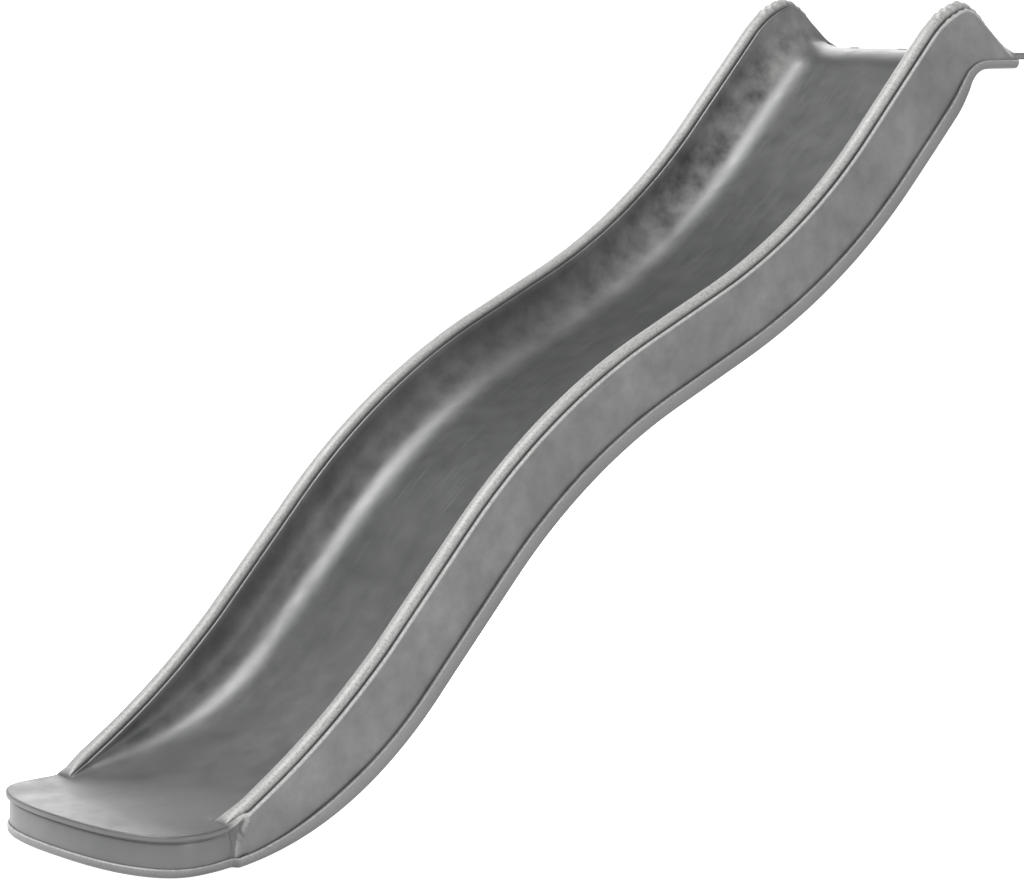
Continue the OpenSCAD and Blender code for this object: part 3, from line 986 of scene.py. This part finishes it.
# ---------------------------------------------------------------- the upper moulding
@dataclass(frozen=True)
class UpperShell(Assembly):
    """The trough with its fillets, rolled rims, side walls, toe plate and deck lip, in one skin."""

    node: ClassVar[str] = "upper_shell"
    slot: ClassVar[str] = "shell_plastic"

    form: SlideForm
    bed_points: int = 9
    fillet_points: int = 24
    fillet_foot: float = 0.105
    groove_w: float = 0.0014
    groove_deep: float = 0.0012
    bead_play: float = 0.0004
    shoulder: float = 0.0018
    shoulder_h: float = 0.0022
    toe_groove: float = 0.0065
    toe_lip: float = 0.0052
    over_ahead: float = 0.004
    over_len: float = 0.045
    wall_room: float = 0.016
    toe_step: tuple[tuple[float, float], ...] = ((0.0085, 0.0), (0.0102, 0.9), (0.0118, 1.0),
                                                 (0.0132, 0.72), (0.0150, 0.64))
    grip_pitch: float = 0.0095
    grip_height: float = 0.0042
    grip_reach: float = 0.042
    ridge_share: float = 0.6
    nose_radius: float = 0.006
    bush_hole: float = 0.00565
    drill_over: float = 0.002
    handled_from: float = 1.35
    low_handled: float = 0.3
    panel_handled: float = 0.22
    # Paleness of the bead tops, partly real rubbing and partly painted highlight, and strength of the
    # painted highlight on the panels' front edges.
    bead_rub_and_highlight: float = 0.66
    front_edge_highlight: float = 2.6

    def stations(self) -> tuple[Array, Array]:
        """Places of the sections, close together where the form turns and wide on straights.

        Returns:
            Distances along the bed and fan angles.
        """
        f, ends = self.form, self.form.bed.ends()
        stops = [ends[1], f.nose_at - 0.006, f.nose_at + 0.046, ends[2], ends[3], ends[4], ends[5],
                 ends[6], ends[7] - 0.03, ends[8], f.lip_from - 0.03, f.lip_from]
        steps = [10, 42, 66, 8, 38, 6, 38, 8, 40, 44, 18]
        lip_start, lip_stop = f.bed.body_end - f.wall, f.bed.lip_end - self.nose_radius
        lip = np.concatenate([[lip_start, f.bed.body_end], np.linspace(f.bed.body_end + 0.006,
                                                                       lip_stop, 6)])
        return f.sections(stops, steps, lip)

    def grip(self, s: Array) -> Array:
        """Ripples over the top of each hump: cosine ridges that fade out both ways from the peak.

        Args:
            s: Distances along the bed.

        Returns:
            Heights of the ripples.
        """
        _, z, slope = self.form.bed.at(s)
        peak = s[np.argmax(z + self.form.rim_height(s) * np.cos(slope))]
        fade = ease((self.grip_reach - np.abs(s - peak)) / 0.012)
        return self.grip_height * fade * (0.5 + 0.5 * np.cos((s - peak) * 2.0 * pi / self.grip_pitch))

    def overhang(self, s: Array) -> Array:
        """Distance across of the moulding's top edge, which stands out as a lip round the toe."""
        f = self.form
        grown = ease((f.nose_at + self.over_ahead - s) / self.over_len)
        return f.rim_x + f.edge + self.toe_lip * grown

    def bed_and_fillet(self, top: Array) -> Array:
        """Half sections of the level bed and the fillet beside it.

        The fillet is a superellipse: its width goes with the sine and its height with one less
        the cosine, each raised to the fillet power.

        Args:
            top: Height of the fillet's upper end, one value a station.

        Returns:
            Points of shape (stations, points, 2), across and up.
        """
        f = self.form
        flat = np.linspace(f.first_share, 1.0, self.bed_points) * self.fillet_foot
        turn = pi / 2.0 * np.linspace(0.0, 1.0, self.fillet_points + 1)[1:]
        width = f.rim_x - f.edge - self.fillet_foot
        x = np.concatenate([flat, self.fillet_foot + width * np.sin(turn) ** f.fillet_power])
        lift = np.concatenate([np.zeros_like(flat), 1.0 - np.cos(turn) ** f.fillet_power])
        return np.stack(np.broadcast_arrays(x[None, :], top[:, None] * lift[None, :]), -1)

    def rim(self, s: Array) -> list[Array]:
        """The rim from the fillet to the top edge: ledge, groove, bead, groove and ledge.

        The bead is half an ellipse, and the hump's ripples ride on it and on the outer ledge.

        Args:
            s: Distances along the bed.

        Returns:
            Groups of points, each of shape (stations, points, 2).
        """
        f = self.form
        height, grown, top = f.rim_levels(s)
        ripple = self.grip(s) * grown
        half = f.bead_half
        groove = ((half + self.bead_play, -self.groove_deep), (half + self.groove_w, -self.groove_deep),
                  (half + self.groove_w + self.shoulder, self.shoulder_h))
        inner_ledge = [station_point(f.rim_x - f.edge + across, top + up * grown)
                       for across, up in ((0.0008, 0.0015), (0.0025, 0.0020))]
        inner_groove = [station_point(f.rim_x - across, top + up * grown)
                        for across, up in reversed(groove)]
        count = 15
        bead = arc(np.full_like(s, f.rim_x), height - f.bead_h * grown, half, f.bead_h * grown,
                   180.0, 0.0, count)
        bead[..., 1] += ripple[:, None] * np.sin(np.linspace(0.0, pi, count))[None, :] ** 0.5
        outer_groove = [station_point(f.rim_x + across, top + up * grown)
                        for across, up in groove[:2]]
        ridge = self.ridge_share * ripple
        outer_ledge = [station_point(f.rim_x + groove[2][0], top + groove[2][1] * grown + ridge),
                       station_point(self.overhang(s) - 0.0022, top + 0.0012 * grown + ridge)]
        return [*inner_ledge, *inner_groove, bead, *outer_groove, *outer_ledge]

    def outer_wall(self, s: Array, top: Array) -> list[Array]:
        """The outer wall from the top edge down to its foot.

        Under the toe's edge it steps in along a rounded groove, and below that it leans out
        in a straight line.

        Args:
            s: Distances along the bed.
            top: Height of the rim's ledges.

        Returns:
            Groups of points, each of shape (stations, 1, 2).
        """
        f = self.form
        edge, over = f.rim_x + f.edge, self.overhang(s)
        low = np.where(s > f.lip_from + f.lip_step / 2.0, -f.lip_t, f.wall - f.depth(s))
        room = np.minimum(1.0, (top - low) / self.wall_room)
        toe = 1.0 - f.panel_share(s, np.full_like(s, -0.01))
        points = [station_point(over - 0.0004, top - 0.0014), station_point(over, top - 0.0055 * room)]
        points += [station_point(over + (edge - self.toe_groove * toe - over) * inward,
                                 top - below * room) for below, inward in self.toe_step]
        under_step = top - self.toe_step[-1][0] * room
        points += [station_point(edge - 0.0014 * toe * (1.0 - down) + f.lean * down * (1.0 - toe),
                                 mix(under_step, low, down)) for down in (0.3, 0.62, 0.9, 1.0)]
        return points

    def outer_half(self, s: Array) -> Array:
        """Half sections of the outer face, from the middle of the bed out to the wall's foot.

        Corner cutting rounds all that lies beyond the fillet.

        Args:
            s: Distances along the bed.

        Returns:
            Points of shape (stations, points, 2), across and up.
        """
        top = self.form.rim_levels(s)[2]
        inside = self.bed_and_fillet(top)
        beyond = np.concatenate([inside[:, -1:], *self.rim(s), *self.outer_wall(s, top)], 1)
        return np.concatenate([inside, cut_corners(beyond)[:, 1:]], 1)

    def inner_half(self, s: Array) -> Array:
        """Half sections of the hidden face, one wall thickness inside, and flat under the lip.

        Args:
            s: Distances along the bed.

        Returns:
            Points of shape (stations, points, 2), across and up.
        """
        f = self.form
        d, k, top = f.rim_levels(s)
        e, w = f.rim_x + f.edge, f.bead_half
        turn = np.radians(np.array([22.5, 45.0, 67.5, 90.0]))
        fillet_x = f.bed_half + (f.rim_x - f.edge - f.bed_half) * np.sin(turn) ** f.fillet_power
        lift = 1.0 - np.cos(turn) ** f.fillet_power
        x = np.concatenate([f.bed_half * np.array([f.first_share, 0.5, 1.0]),
                            fillet_x + f.wall * np.sin(turn),
                            [f.rim_x - w + 0.001, f.rim_x - w / 2.0, f.rim_x + w / 2.0,
                             f.rim_x + w - 0.001, e - f.wall, e - f.wall + f.lean]])
        flat = np.full((len(s), 3), -f.wall)
        curved = (top[:, None] * lift - f.wall * np.cos(turn) - f.wall * k[:, None] * turn / pi
                  - f.wall * (1.0 - k[:, None]) * (1.0 - np.cos(turn)))
        beside, under = top - f.wall * (1.0 + k), d - f.wall - f.ledge_drop * k
        wear_and_highlight = np.stack([beside, under, under, beside, top - f.wall - 0.005,
                          f.wall - f.depth(s)], -1)
        h = np.concatenate([flat, curved, wear_and_highlight], 1)
        on_lip = (s > f.lip_from + f.lip_step / 2.0)[:, None]
        level = mix(x[0], e - f.wall, np.linspace(0.0, 1.0, len(x)))
        return np.stack([np.where(on_lip, level, x), np.where(on_lip, -f.lip_t, h)], -1)

    def swept(self, s: Array, fan: Array, half: Array) -> Array:
        """Place half sections on their stations, with the toe's skirt drawn in.

        Args:
            s: Distances along the bed.
            fan: Fan angles in radians.
            half: Half sections.

        Returns:
            Points of shape (stations, points, 3).
        """
        f = self.form
        x, h = half[..., 0], half[..., 1]
        outer = x > f.rim_x + f.bead_half + 0.0008
        slow = np.broadcast_to(ease((s - f.nose_at) / 0.05)[:, None], x.shape)
        share = np.where(outer, f.panel_share(s[:, None], h), slow)
        return f.place(s[:, None], fan[:, None], f.squeeze(x, share), h)

    def lip_nose(self, half: Array) -> tuple[Array, Array]:
        """Sections that round the lip's end: heights close on the middle as the cosine falls.

        Args:
            half: The last half section.

        Returns:
            Distances along the bed and half sections.
        """
        angle = np.radians(np.array([20.0, 38.0, 54.0, 68.0, 80.0]))
        s = self.form.bed.lip_end - self.nose_radius + self.nose_radius * np.sin(angle) / sin(angle[-1])
        middle = -self.form.lip_t / 2.0
        h = middle + (half[None, :, 1] - middle) * np.cos(angle)[:, None]
        return s, np.stack([np.broadcast_to(half[:, 0], h.shape), h], -1)

    def build(self) -> bpy.types.Object:
        """Make the closed skin, store its wear and painted highlight values and drill the lip for the
        bushes.

        Returns:
            The moulding.
        """
        s, fan = self.stations()
        outer_half, inner_half = self.outer_half(s), self.inner_half(s)
        nose_s, nose_out = self.lip_nose(outer_half[-1])
        _, nose_in = self.lip_nose(inner_half[-1])
        s = np.concatenate([s, nose_s])
        fan = np.concatenate([fan, np.full(len(nose_s), pi / 2.0)])
        outer_half = np.concatenate([outer_half, nose_out])
        outer = mirrored_rows(self.swept(s, fan, outer_half))
        inner = mirrored_rows(self.swept(s, fan, np.concatenate([inner_half, nose_in])))
        m, n, p = len(s), outer.shape[1], inner.shape[1]
        points, faces = two_skins(outer, inner)
        end = laced((m - 1) * n, n, m * n + (m - 1) * p, p)
        piece = make_piece("upper_moulding", points, [*faces, end])
        self.mark(piece, s, outer_half, (m, n, p))
        y, below = middle_y("deck_bushes"), self.form.bed.deck_top - self.form.lip_t - self.drill_over
        tall = self.form.lip_t + 2.0 * self.drill_over
        drill(piece, [(Vector((x, y, below)), self.bush_hole, tall) for x in DeckBushes().across()])
        return piece

    def mark(self, piece: bpy.types.Object, s: Array, half: Array, counts: tuple[int, int, int]
             ) -> None:
        """Store how rubbed, slid-on and handled each point is, where painted highlights go, and a map
        across and along the skin.

        Args:
            piece: The finished skin.
            s: Distances along the bed.
            half: Outer half sections.
            counts: Stations, outer points and inner points a station.
        """
        f = self.form
        m, n, p = counts
        x, h = half[..., 0], half[..., 1]
        d = f.rim_height(s)[:, None]
        # Bead tops made pale, partly real rubbing and partly painted highlight.
        on_bead = ease((f.bead_half + 0.0012 - np.abs(x - f.rim_x)) / 0.003)
        high = ease((h - d + 0.0125) / 0.006) * ease(d / 0.01)
        # Painted highlight along the outer top edge, where the ledge catches the light.
        by_edge = ease((0.0028 - np.abs(x - f.rim_x - f.edge + 0.001)) / 0.002)
        ledge_highlight = by_edge * ease((h - d + 0.0165) / 0.003) * ease(d / 0.02)
        inner_wall = ease((x - f.bed_half) / 0.03) * ease((f.rim_x - f.edge + 0.004 - x) / 0.008)
        spread = mix(self.low_handled, 1.0, ease((s - self.handled_from) / 0.5))[:, None]
        on_panel = ease((x - f.rim_x - f.edge + 0.004) / 0.003)
        share = f.panel_share(s[:, None], h)
        handled = np.maximum(inner_wall * spread * ease(h / 0.02),
                             self.panel_handled * on_panel * share)
        # Painted highlight along the side panel's front edge near the toe.
        front = on_panel * share * (1.0 - share) * ease((0.3 - s) / 0.05)[:, None]
        # Joins the pale bead tops, partly rubbing and partly painted highlight, with the painted edge
        # highlights.
        wear_and_highlight = np.maximum(np.maximum(self.bead_rub_and_highlight * on_bead * high, ledge_highlight),
                           self.front_edge_highlight * front)
        traffic = (ease((f.bed_half + 0.03 - x) / 0.05) * ease((h + 0.01) / 0.005)
                   * ease((s - f.nose_at) / 0.2)[:, None]
                   * mix(0.25, 1.0, ease((s - 0.4) / 0.4))[:, None])
        steps = np.hypot(np.diff(x), np.diff(h))
        across = np.concatenate([x[:, :1], x[:, :1] + np.cumsum(steps, 1)], 1)
        along = np.broadcast_to(s[:, None], x.shape)

        def whole(values: Array, sign: float = 1.0) -> Array:
            """Values of the whole outer row, and zeros for the inner face."""
            rows = np.concatenate([sign * values[:, ::-1], values], 1).ravel()
            return np.concatenate([rows, np.zeros(m * p)])

        set_point_values(piece, Wear.WEAR_AND_HIGHLIGHT.value, whole(wear_and_highlight))
        set_point_values(piece, Wear.TRAFFIC.value, whole(traffic))
        set_point_values(piece, Wear.HANDLED.value, whole(handled))
        set_point_uv(piece, "moulding", np.stack([whole(across, -1.0), whole(along)], -1))


# ---------------------------------------------------------------- the tray under it
@dataclass(frozen=True)
class UnderTray(Assembly):
    """The closed underside with the band that runs up its sides and round the toe."""

    node: ClassVar[str] = "under_shell"
    slot: ClassVar[str] = "tray_plastic"

    form: SlideForm
    foot_radius: float = 0.004
    top_radius: float = 0.0024
    end_radius: float = 0.008
    drain_radius: float = 0.006
    ledge_radius: float = 0.009
    drill_over: float = 0.001
    # Strength of the painted highlight along the band's top edge.
    edge_highlight: float = 0.8

    def stations(self) -> tuple[Array, Array]:
        """Places of the sections, close together round the toe and at the turned-up end.

        Returns:
            Distances along the bed and fan angles.
        """
        f, ends = self.form, self.form.bed.ends()
        stops = [ends[1], f.nose_at - 0.006, f.nose_at + 0.03, ends[2], ends[3], ends[4], ends[5],
                 ends[6], *f.head_span, f.bed.body_end - self.end_radius]
        steps = [8, 24, 56, 8, 36, 4, 36, 6, 40, 10]
        turn = np.radians(np.array([15.0, 30.0, 45.0, 60.0, 75.0, 90.0]))
        end = f.bed.body_end - self.end_radius * (1.0 - np.sin(turn))
        return f.sections(stops, steps, end)

    def wall_x(self, s: Array) -> Array:
        """Distance across of the band's inner face, which embraces the side wall.

        Args:
            s: Distances along the bed.

        Returns:
            The side wall's foot and the fit's gap beyond it.
        """
        f = self.form
        share = f.panel_share(s, -f.depth(s))
        return f.squeeze(f.rim_x + f.edge + f.lean * share, share) + f.band_gap

    def low_edge(self, s: Array) -> Array:
        """Height of the underside, which turns up in a quarter circle at the body's end."""
        reach = clamp((s - self.form.bed.body_end + self.end_radius) / self.end_radius)
        return -self.form.depth(s) + self.end_radius * (1.0 - np.sqrt(1.0 - reach * reach))

    def outer_half(self, s: Array) -> Array:
        """Half sections of the outer face: flat floor, round foot, upright band, round top.

        Args:
            s: Distances along the bed.

        Returns:
            Points of shape (stations, points, 2), across and up.
        """
        f = self.form
        out, low = self.wall_x(s) + f.band_depth(s), self.low_edge(s)
        top = -f.depth(s) + f.band_height(s)
        floor_x = np.array([f.first_share, 0.5, 1.0, 1.5]) * f.bed_half
        floor = np.stack(np.broadcast_arrays(floor_x[None, :], low[:, None]), -1)
        foot = arc(out - self.foot_radius, low + self.foot_radius, self.foot_radius,
                   np.full_like(s, self.foot_radius), -90.0, 0.0, 7)
        edge = arc(out - self.top_radius, top - self.top_radius, self.top_radius,
                   np.full_like(s, self.top_radius), 0.0, 90.0, 5)
        return np.concatenate([floor, foot, edge], 1)

    def inner_half(self, s: Array) -> Array:
        """Half sections of the inner face: the floor's top and the inside of the band.

        Args:
            s: Distances along the bed.

        Returns:
            Points of shape (stations, 4, 2), across and up.
        """
        f = self.form
        low, top = -f.depth(s) + f.wall, -f.depth(s) + f.band_height(s)
        wall = self.wall_x(s)
        x = np.stack([np.full_like(s, f.first_share * f.bed_half), np.full_like(s, f.bed_half),
                      wall, wall], -1)
        return np.stack([x, np.stack([low, low, low, top], -1)], -1)

    def build(self) -> bpy.types.Object:
        """Make the closed tray, store its painted highlight and wear values and cut its two stepped
        drain holes.

        Returns:
            The tray.
        """
        f = self.form
        s, fan = self.stations()
        within = s - f.wall * ease((s - f.bed.body_end + 0.03) / 0.03)
        half = self.outer_half(s)
        outer = mirrored_rows(f.place(s[:, None], fan[:, None], half[..., 0], half[..., 1]))
        inner_half = self.inner_half(within)
        inner = mirrored_rows(f.place(within[:, None], fan[:, None], inner_half[..., 0],
                                      inner_half[..., 1]))
        m, n, p = len(s), outer.shape[1], inner.shape[1]
        last, last_in = (m - 1) * n + np.arange(n), m * n + (m - 1) * p + np.arange(p)
        rim = np.array([[last[0], last_in[0], last_in[-1], last[-1]]])
        points, faces = two_skins(outer, inner)
        piece = make_piece("under_tray", points, [*faces, last[None, ::-1], last_in[None, :], rim])
        self.mark(piece, s, half, (m, n, p))
        self.drain(piece)
        return piece

    def mark(self, piece: bpy.types.Object, s: Array, half: Array, counts: tuple[int, int, int]
             ) -> None:
        """Store a painted highlight along the band's top edge, no wear, and a map across and along the
        tray.

        Args:
            piece: The tray.
            s: Distances along the bed.
            half: Outer half sections.
            counts: Stations, outer points and inner points a station.
        """
        f = self.form
        m, n, p = counts
        x, h = half[..., 0], half[..., 1]
        # Painted highlight along the band's top edge, where it catches the light.
        edge = ease((h - (f.band_height(s) - f.depth(s))[:, None] + 0.0028) / 0.0012)
        wear_and_highlight = np.concatenate([np.concatenate([edge[:, ::-1], edge], 1).ravel(), np.zeros(m * p)])
        set_point_values(piece, Wear.WEAR_AND_HIGHLIGHT.value, self.edge_highlight * wear_and_highlight)
        for value in (Wear.TRAFFIC, Wear.HANDLED):
            set_point_values(piece, value.value, np.zeros(m * (n + p)))
        across = np.concatenate([-x[:, ::-1], x], 1).ravel()
        along = np.broadcast_to(s[:, None], (m, n)).ravel()
        blank = np.zeros(m * p)
        set_point_uv(piece, "moulding", np.stack([np.concatenate([across, blank]),
                                                  np.concatenate([along, blank])], -1))

    def drain(self, piece: bpy.types.Object) -> None:
        """Cut the stepped drain holes, each step on its own, because the two steps meet.

        Args:
            piece: The tray.
        """
        low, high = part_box("drain_plugs")
        half_plug, over = (high.y - low.y) / 2.0, self.drill_over
        for x in (half_plug - high.x, high.x - half_plug):
            start = Vector((x, middle_y("drain_plugs"), -over))
            drill(piece, [(start, self.drain_radius, self.form.wall + 2.0 * over)])
            drill(piece, [(start, self.ledge_radius, self.form.wall / 2.0 + over)])


# ---------------------------------------------------------------- turned fittings
@dataclass(frozen=True)
class SeamScrews(Assembly):
    """Pan-head screws up through the tray: a row of pairs along the underside."""

    node: ClassVar[str] = "seam_screws"
    slot: ClassVar[str] = "screw_steel"

    form: SlideForm
    sides: int = 36
    across: float = 0.14
    rows: tuple[tuple[int, float], ...] = ((1, 0.668), (2, 0.75), (3, 0.583), (4, 0.75),
                                           (5, 0.583), (6, 0.5))
    shank: float = 0.0021
    head: float = 0.00462
    head_h: float = 0.003
    length: float = 0.02
    socket: float = 0.0017

    def profile(self) -> tuple[Array, Array]:
        """The screw's outline from the socket's floor round the domed head to the tip.

        Returns:
            Radii and heights, and the share of a hexagon in each radius.
        """
        dome = np.radians(np.linspace(90.0, 0.0, 8))
        dome_r = 0.6 * self.head + 0.4 * self.head * np.cos(dome)
        dome_h = -self.head_h + 0.0016 * (1.0 - np.sin(dome))
        start = np.array([[0.0, -0.0012], [self.socket, -0.0012], [self.socket, 0.0002 - self.head_h],
                          [self.socket + 0.0004, -self.head_h]])
        stop = np.array([[self.head, -0.0002], [self.head - 0.0002, 0.0], [self.shank, 0.0],
                         [self.shank, self.length - 0.003], [0.0, self.length]])
        profile = np.concatenate([start, np.stack([dome_r, dome_h], -1), stop])
        hexed = np.zeros(len(profile))
        hexed[1:3] = 1.0
        return profile, hexed

    def build(self) -> bpy.types.Object:
        """Turn one screw and set it under the tray at each place.

        Returns:
            The set of screws.
        """
        ends = self.form.bed.ends()
        profile, hexed = self.profile()
        points, quads = turned(profile, self.sides, hexed)
        places = []
        for stretch, share in self.rows:
            s = float(mix(ends[stretch], ends[stretch + 1], share))
            depth = float(self.form.depth(np.array([s]))[0])
            places += [self.form.frame_at(s, side * self.across, -depth) for side in (-1.0, 1.0)]
        return set_of("seam_screw_set", points, quads, places)


@dataclass(frozen=True)
class BarScrews(Assembly):
    """Hexagon-headed screws up into the head bar."""

    node: ClassVar[str] = "bar_screws"
    slot: ClassVar[str] = "screw_steel"

    sides: int = 36
    shank: float = 0.003
    head: float = 0.0052
    head_h: float = 0.004
    washer: float = 0.006

    def build(self) -> bpy.types.Object:
        """Turn one screw with a six-sided head and a round washer face, and set three of them.

        Returns:
            The set of screws.
        """
        low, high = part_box("bar_screws")
        y = middle_y("bar_screws")
        span = high.x - self.washer
        length = high.z - low.z - self.head_h
        profile = np.array([[0.0, -self.head_h], [0.8 * self.head, -self.head_h],
                            [0.96 * self.head, 0.0003 - self.head_h], [self.head, 0.0009 - self.head_h],
                            [self.head, -0.0009], [self.washer, -0.0008], [self.washer, 0.0],
                            [self.shank, 0.0], [self.shank, length - 0.001], [0.0, length]])
        hexed = np.array([0.0, 0.6, 0.9, 1.0, 1.0, 0.0, 0.0, 0.0, 0.0, 0.0])
        points, quads = turned(profile, self.sides, hexed)
        places = [Matrix.Translation((x, y, low.z + self.head_h)) for x in (-span, 0.0, span)]
        return set_of("bar_screw_set", points, quads, places)


@dataclass(frozen=True)
class DeckBushes(Assembly):
    """Flanged sleeves that line the four screw holes of the deck lip."""

    node: ClassVar[str] = "deck_bushes"
    slot: ClassVar[str] = "bush_plastic"

    sides: int = 40
    sleeve: float = 0.0055
    bore: float = 0.0033
    flange: float = 0.009
    flange_t: float = 0.0015
    round_off: float = 0.0007
    count: int = 4

    def across(self) -> Array:
        """Distances across of the sleeves, evenly spaced."""
        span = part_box("deck_bushes")[1].x - self.flange
        return np.linspace(-span, span, self.count)

    def build(self) -> bpy.types.Object:
        """Turn one sleeve, a closed ring section with a rounded flange, and set four in a line.

        Returns:
            The set of sleeves.
        """
        low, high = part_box("deck_bushes")
        tall = high.z - low.z - self.flange_t
        bend = np.radians(np.linspace(90.0, 0.0, 5))
        edge = np.stack([self.flange - self.round_off + self.round_off * np.cos(bend),
                         tall + self.flange_t - self.round_off + self.round_off * np.sin(bend)], -1)
        ring = np.array([[self.flange, tall], [self.sleeve, tall], [self.sleeve, 0.0004],
                         [self.sleeve - 0.0004, 0.0], [self.bore, 0.0], [self.bore, tall + 0.0009],
                         [self.bore + 0.0006, tall + self.flange_t]])
        profile = np.concatenate([edge, ring, edge[:1]])
        points, quads = turned(profile, self.sides)
        y = middle_y("deck_bushes")
        places = [Matrix.Translation((x, y, low.z)) for x in self.across()]
        return set_of("deck_bush_set", points, quads, places)


@dataclass(frozen=True)
class DrainPlugs(Assembly):
    """Push-in plugs that close the toe's two drain holes."""

    node: ClassVar[str] = "drain_plugs"
    slot: ClassVar[str] = "plug_rubber"

    sides: int = 40
    head: float = 0.0087
    neck: float = 0.00585
    barb: float = 0.0065

    def build(self) -> bpy.types.Object:
        """Turn one plug with a dished head, a neck and a barb, and set the pair.

        Returns:
            The pair of plugs.
        """
        low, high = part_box("drain_plugs")
        tall = high.z - low.z
        profile = np.array([[0.0, 0.0006], [0.6 * self.head, 0.0004], [0.85 * self.head, 0.0001],
                            [0.95 * self.head, 0.0], [self.head, 0.0004], [self.head, 0.0018],
                            [self.neck, 0.0018], [self.neck, 0.004], [self.barb, 0.0042],
                            [0.7 * self.barb, tall - 0.0006], [0.5 * self.barb, tall], [0.0, tall]])
        points, quads = turned(profile, self.sides)
        y, half = middle_y("drain_plugs"), (high.y - low.y) / 2.0
        places = [Matrix.Translation((x, y, low.z)) for x in (half - high.x, high.x - half)]
        return set_of("drain_plug_set", points, quads, places)


# ---------------------------------------------------------------- studio
@dataclass(frozen=True)
class Softbox:
    """A square area light that faces a point of the slide."""

    name: str
    place: tuple[float, float, float]
    size: float
    power: float
    aim: tuple[float, float, float] = (0.0, 0.0, 0.6)

    def build(self) -> bpy.types.Object:
        """Make the light and turn it to its aim.

        Returns:
            The light.
        """
        data = bpy.data.lights.new(self.name, "AREA")
        data.shape = "SQUARE"
        data.size = self.size
        data.energy = self.power
        light = bpy.data.objects.new(self.name, data)
        light.location = self.place
        towards = Vector(self.aim) - Vector(self.place)
        light.rotation_euler = towards.to_track_quat("-Z", "Y").to_euler()
        bpy.context.scene.collection.objects.link(light)
        return light


@dataclass(frozen=True)
class Studio:
    """Pale floor, pale surround, softboxes and the camera."""

    floor_half: float = 40.0
    floor_drop: float = 0.0006
    floor_grey: float = 0.8
    floor_glow: float = 0.9
    horizon: float = 1.6
    overhead: float = 0.2
    pale_up_to: float = 0.12
    dim_from: float = 0.6
    lens: float = 122.6
    stand: tuple[float, float, float] = (4.348, -3.936, 1.345)
    heading: float = radians(48.26)
    down: float = radians(7.59)
    roll: float = radians(0.4)
    boxes: tuple[Softbox, ...] = field(default_factory=lambda: (
        Softbox("key_box", (-2.0, -2.9, 7.6), 4.0, 800.0),
        Softbox("side_box", (4.8, -0.4, 1.4), 2.4, 55.0),
        Softbox("toe_box", (-2.6, 1.4, 1.1), 1.8, 20.0, (0.0, -0.9, 0.1)),
        Softbox("deck_box", (-2.4, 3.3, 2.9), 2.2, 36.0, (0.0, 0.9, 1.2)),
    ))

    def floor(self) -> bpy.types.Object:
        """Lay a wide level floor in pale matt card, which glows so that it stays pale.

        Returns:
            The floor.
        """
        h = self.floor_half
        points = np.array([[-h, -h, 0.0], [h, -h, 0.0], [h, h, 0.0], [-h, h, 0.0]])
        mesh = bpy.data.meshes.new("floor")
        mesh.from_pydata(points.tolist(), [], [[0, 1, 2, 3]])
        card = Recipe("pale_card")
        grey = self.floor_grey
        for name, value in (("Base Color", (grey, grey, grey, 1.0)), ("Roughness", 0.9),
                            ("Specular IOR Level", 0.0), ("Emission Color", (1.0, 1.0, 1.0, 1.0)),
                            ("Emission Strength", self.floor_glow)):
            card.shader.inputs[name].default_value = value
        mesh.materials.append(card.material)
        floor = bpy.data.objects.new("floor", mesh)
        floor.location.z = -self.floor_drop
        bpy.context.scene.collection.objects.link(floor)
        return floor

    def surround_light(self) -> None:
        """A pale surround, brightest at the horizon and dimmer overhead."""
        world = bpy.data.worlds.new("surround")
        world.use_nodes = True
        tree = world.node_tree
        split = tree.nodes.new("ShaderNodeSeparateXYZ")
        ramp = tree.nodes.new("ShaderNodeMapRange")
        tree.links.new(tree.nodes.new("ShaderNodeTexCoord").outputs["Generated"], split.inputs[0])
        tree.links.new(split.outputs["Z"], ramp.inputs["Value"])
        for name, value in (("From Min", self.pale_up_to), ("From Max", self.dim_from),
                            ("To Min", self.horizon), ("To Max", self.overhead)):
            ramp.inputs[name].default_value = value
        tree.links.new(ramp.outputs["Result"], tree.nodes["Background"].inputs["Strength"])
        tree.nodes["Background"].inputs["Color"].default_value = (1.0, 1.0, 1.0, 1.0)
        bpy.context.scene.world = world

    def camera(self) -> None:
        """A long lens that looks up the slide from beside its toe."""
        data = bpy.data.cameras.new("camera")
        data.lens = self.lens
        data.clip_end = 200.0
        camera = bpy.data.objects.new("camera", data)
        turn = (Matrix.Rotation(self.heading, 4, "Z") @ Matrix.Rotation(pi / 2.0 - self.down, 4, "X")
                @ Matrix.Rotation(self.roll, 4, "Z"))
        camera.matrix_world = Matrix.Translation(self.stand) @ turn
        bpy.context.scene.collection.objects.link(camera)
        bpy.context.scene.camera = camera

    def build(self) -> None:
        """Set everything up."""
        self.floor()
        self.surround_light()
        self.camera()
        for box in self.boxes:
            box.build()
        bpy.context.scene.view_settings.view_transform = "Standard"


def main() -> None:
    """Build the studio and every piece in order."""
    logging.basicConfig(level=logging.INFO, format="%(message)s")
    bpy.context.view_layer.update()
    Studio().build()

    form = SlideForm()
    shell = MouldedPlastic("shell_plastic").make()
    tray = MouldedPlastic("tray_plastic", deep=(0.068, 0.069, 0.069),
                          cloud=(0.098, 0.099, 0.098)).make()
    zinc = PlatedSteel("zinc_plate").make()
    galvanised = PlatedSteel("galvanised_bar", bright=(0.5, 0.51, 0.53),
                             bloom=(0.36, 0.37, 0.38)).make()
    nylon = SoftMoulding("grey_nylon", base=(0.16, 0.16, 0.16), dust=(0.22, 0.22, 0.215)).make()
    rubber = SoftMoulding("plug_rubber", base=(0.022, 0.022, 0.023), rough=0.7).make()

    UpperShell(form).fit(shell)
    UnderTray(form).fit(tray)
    SeamScrews(form).fit(zinc)
    BarScrews().fit(zinc)
    DeckBushes().fit(nylon)
    DrainPlugs().fit(rubber)
    dress(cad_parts["head_bar"], galvanised)


if __name__ == "__main__":
    main()
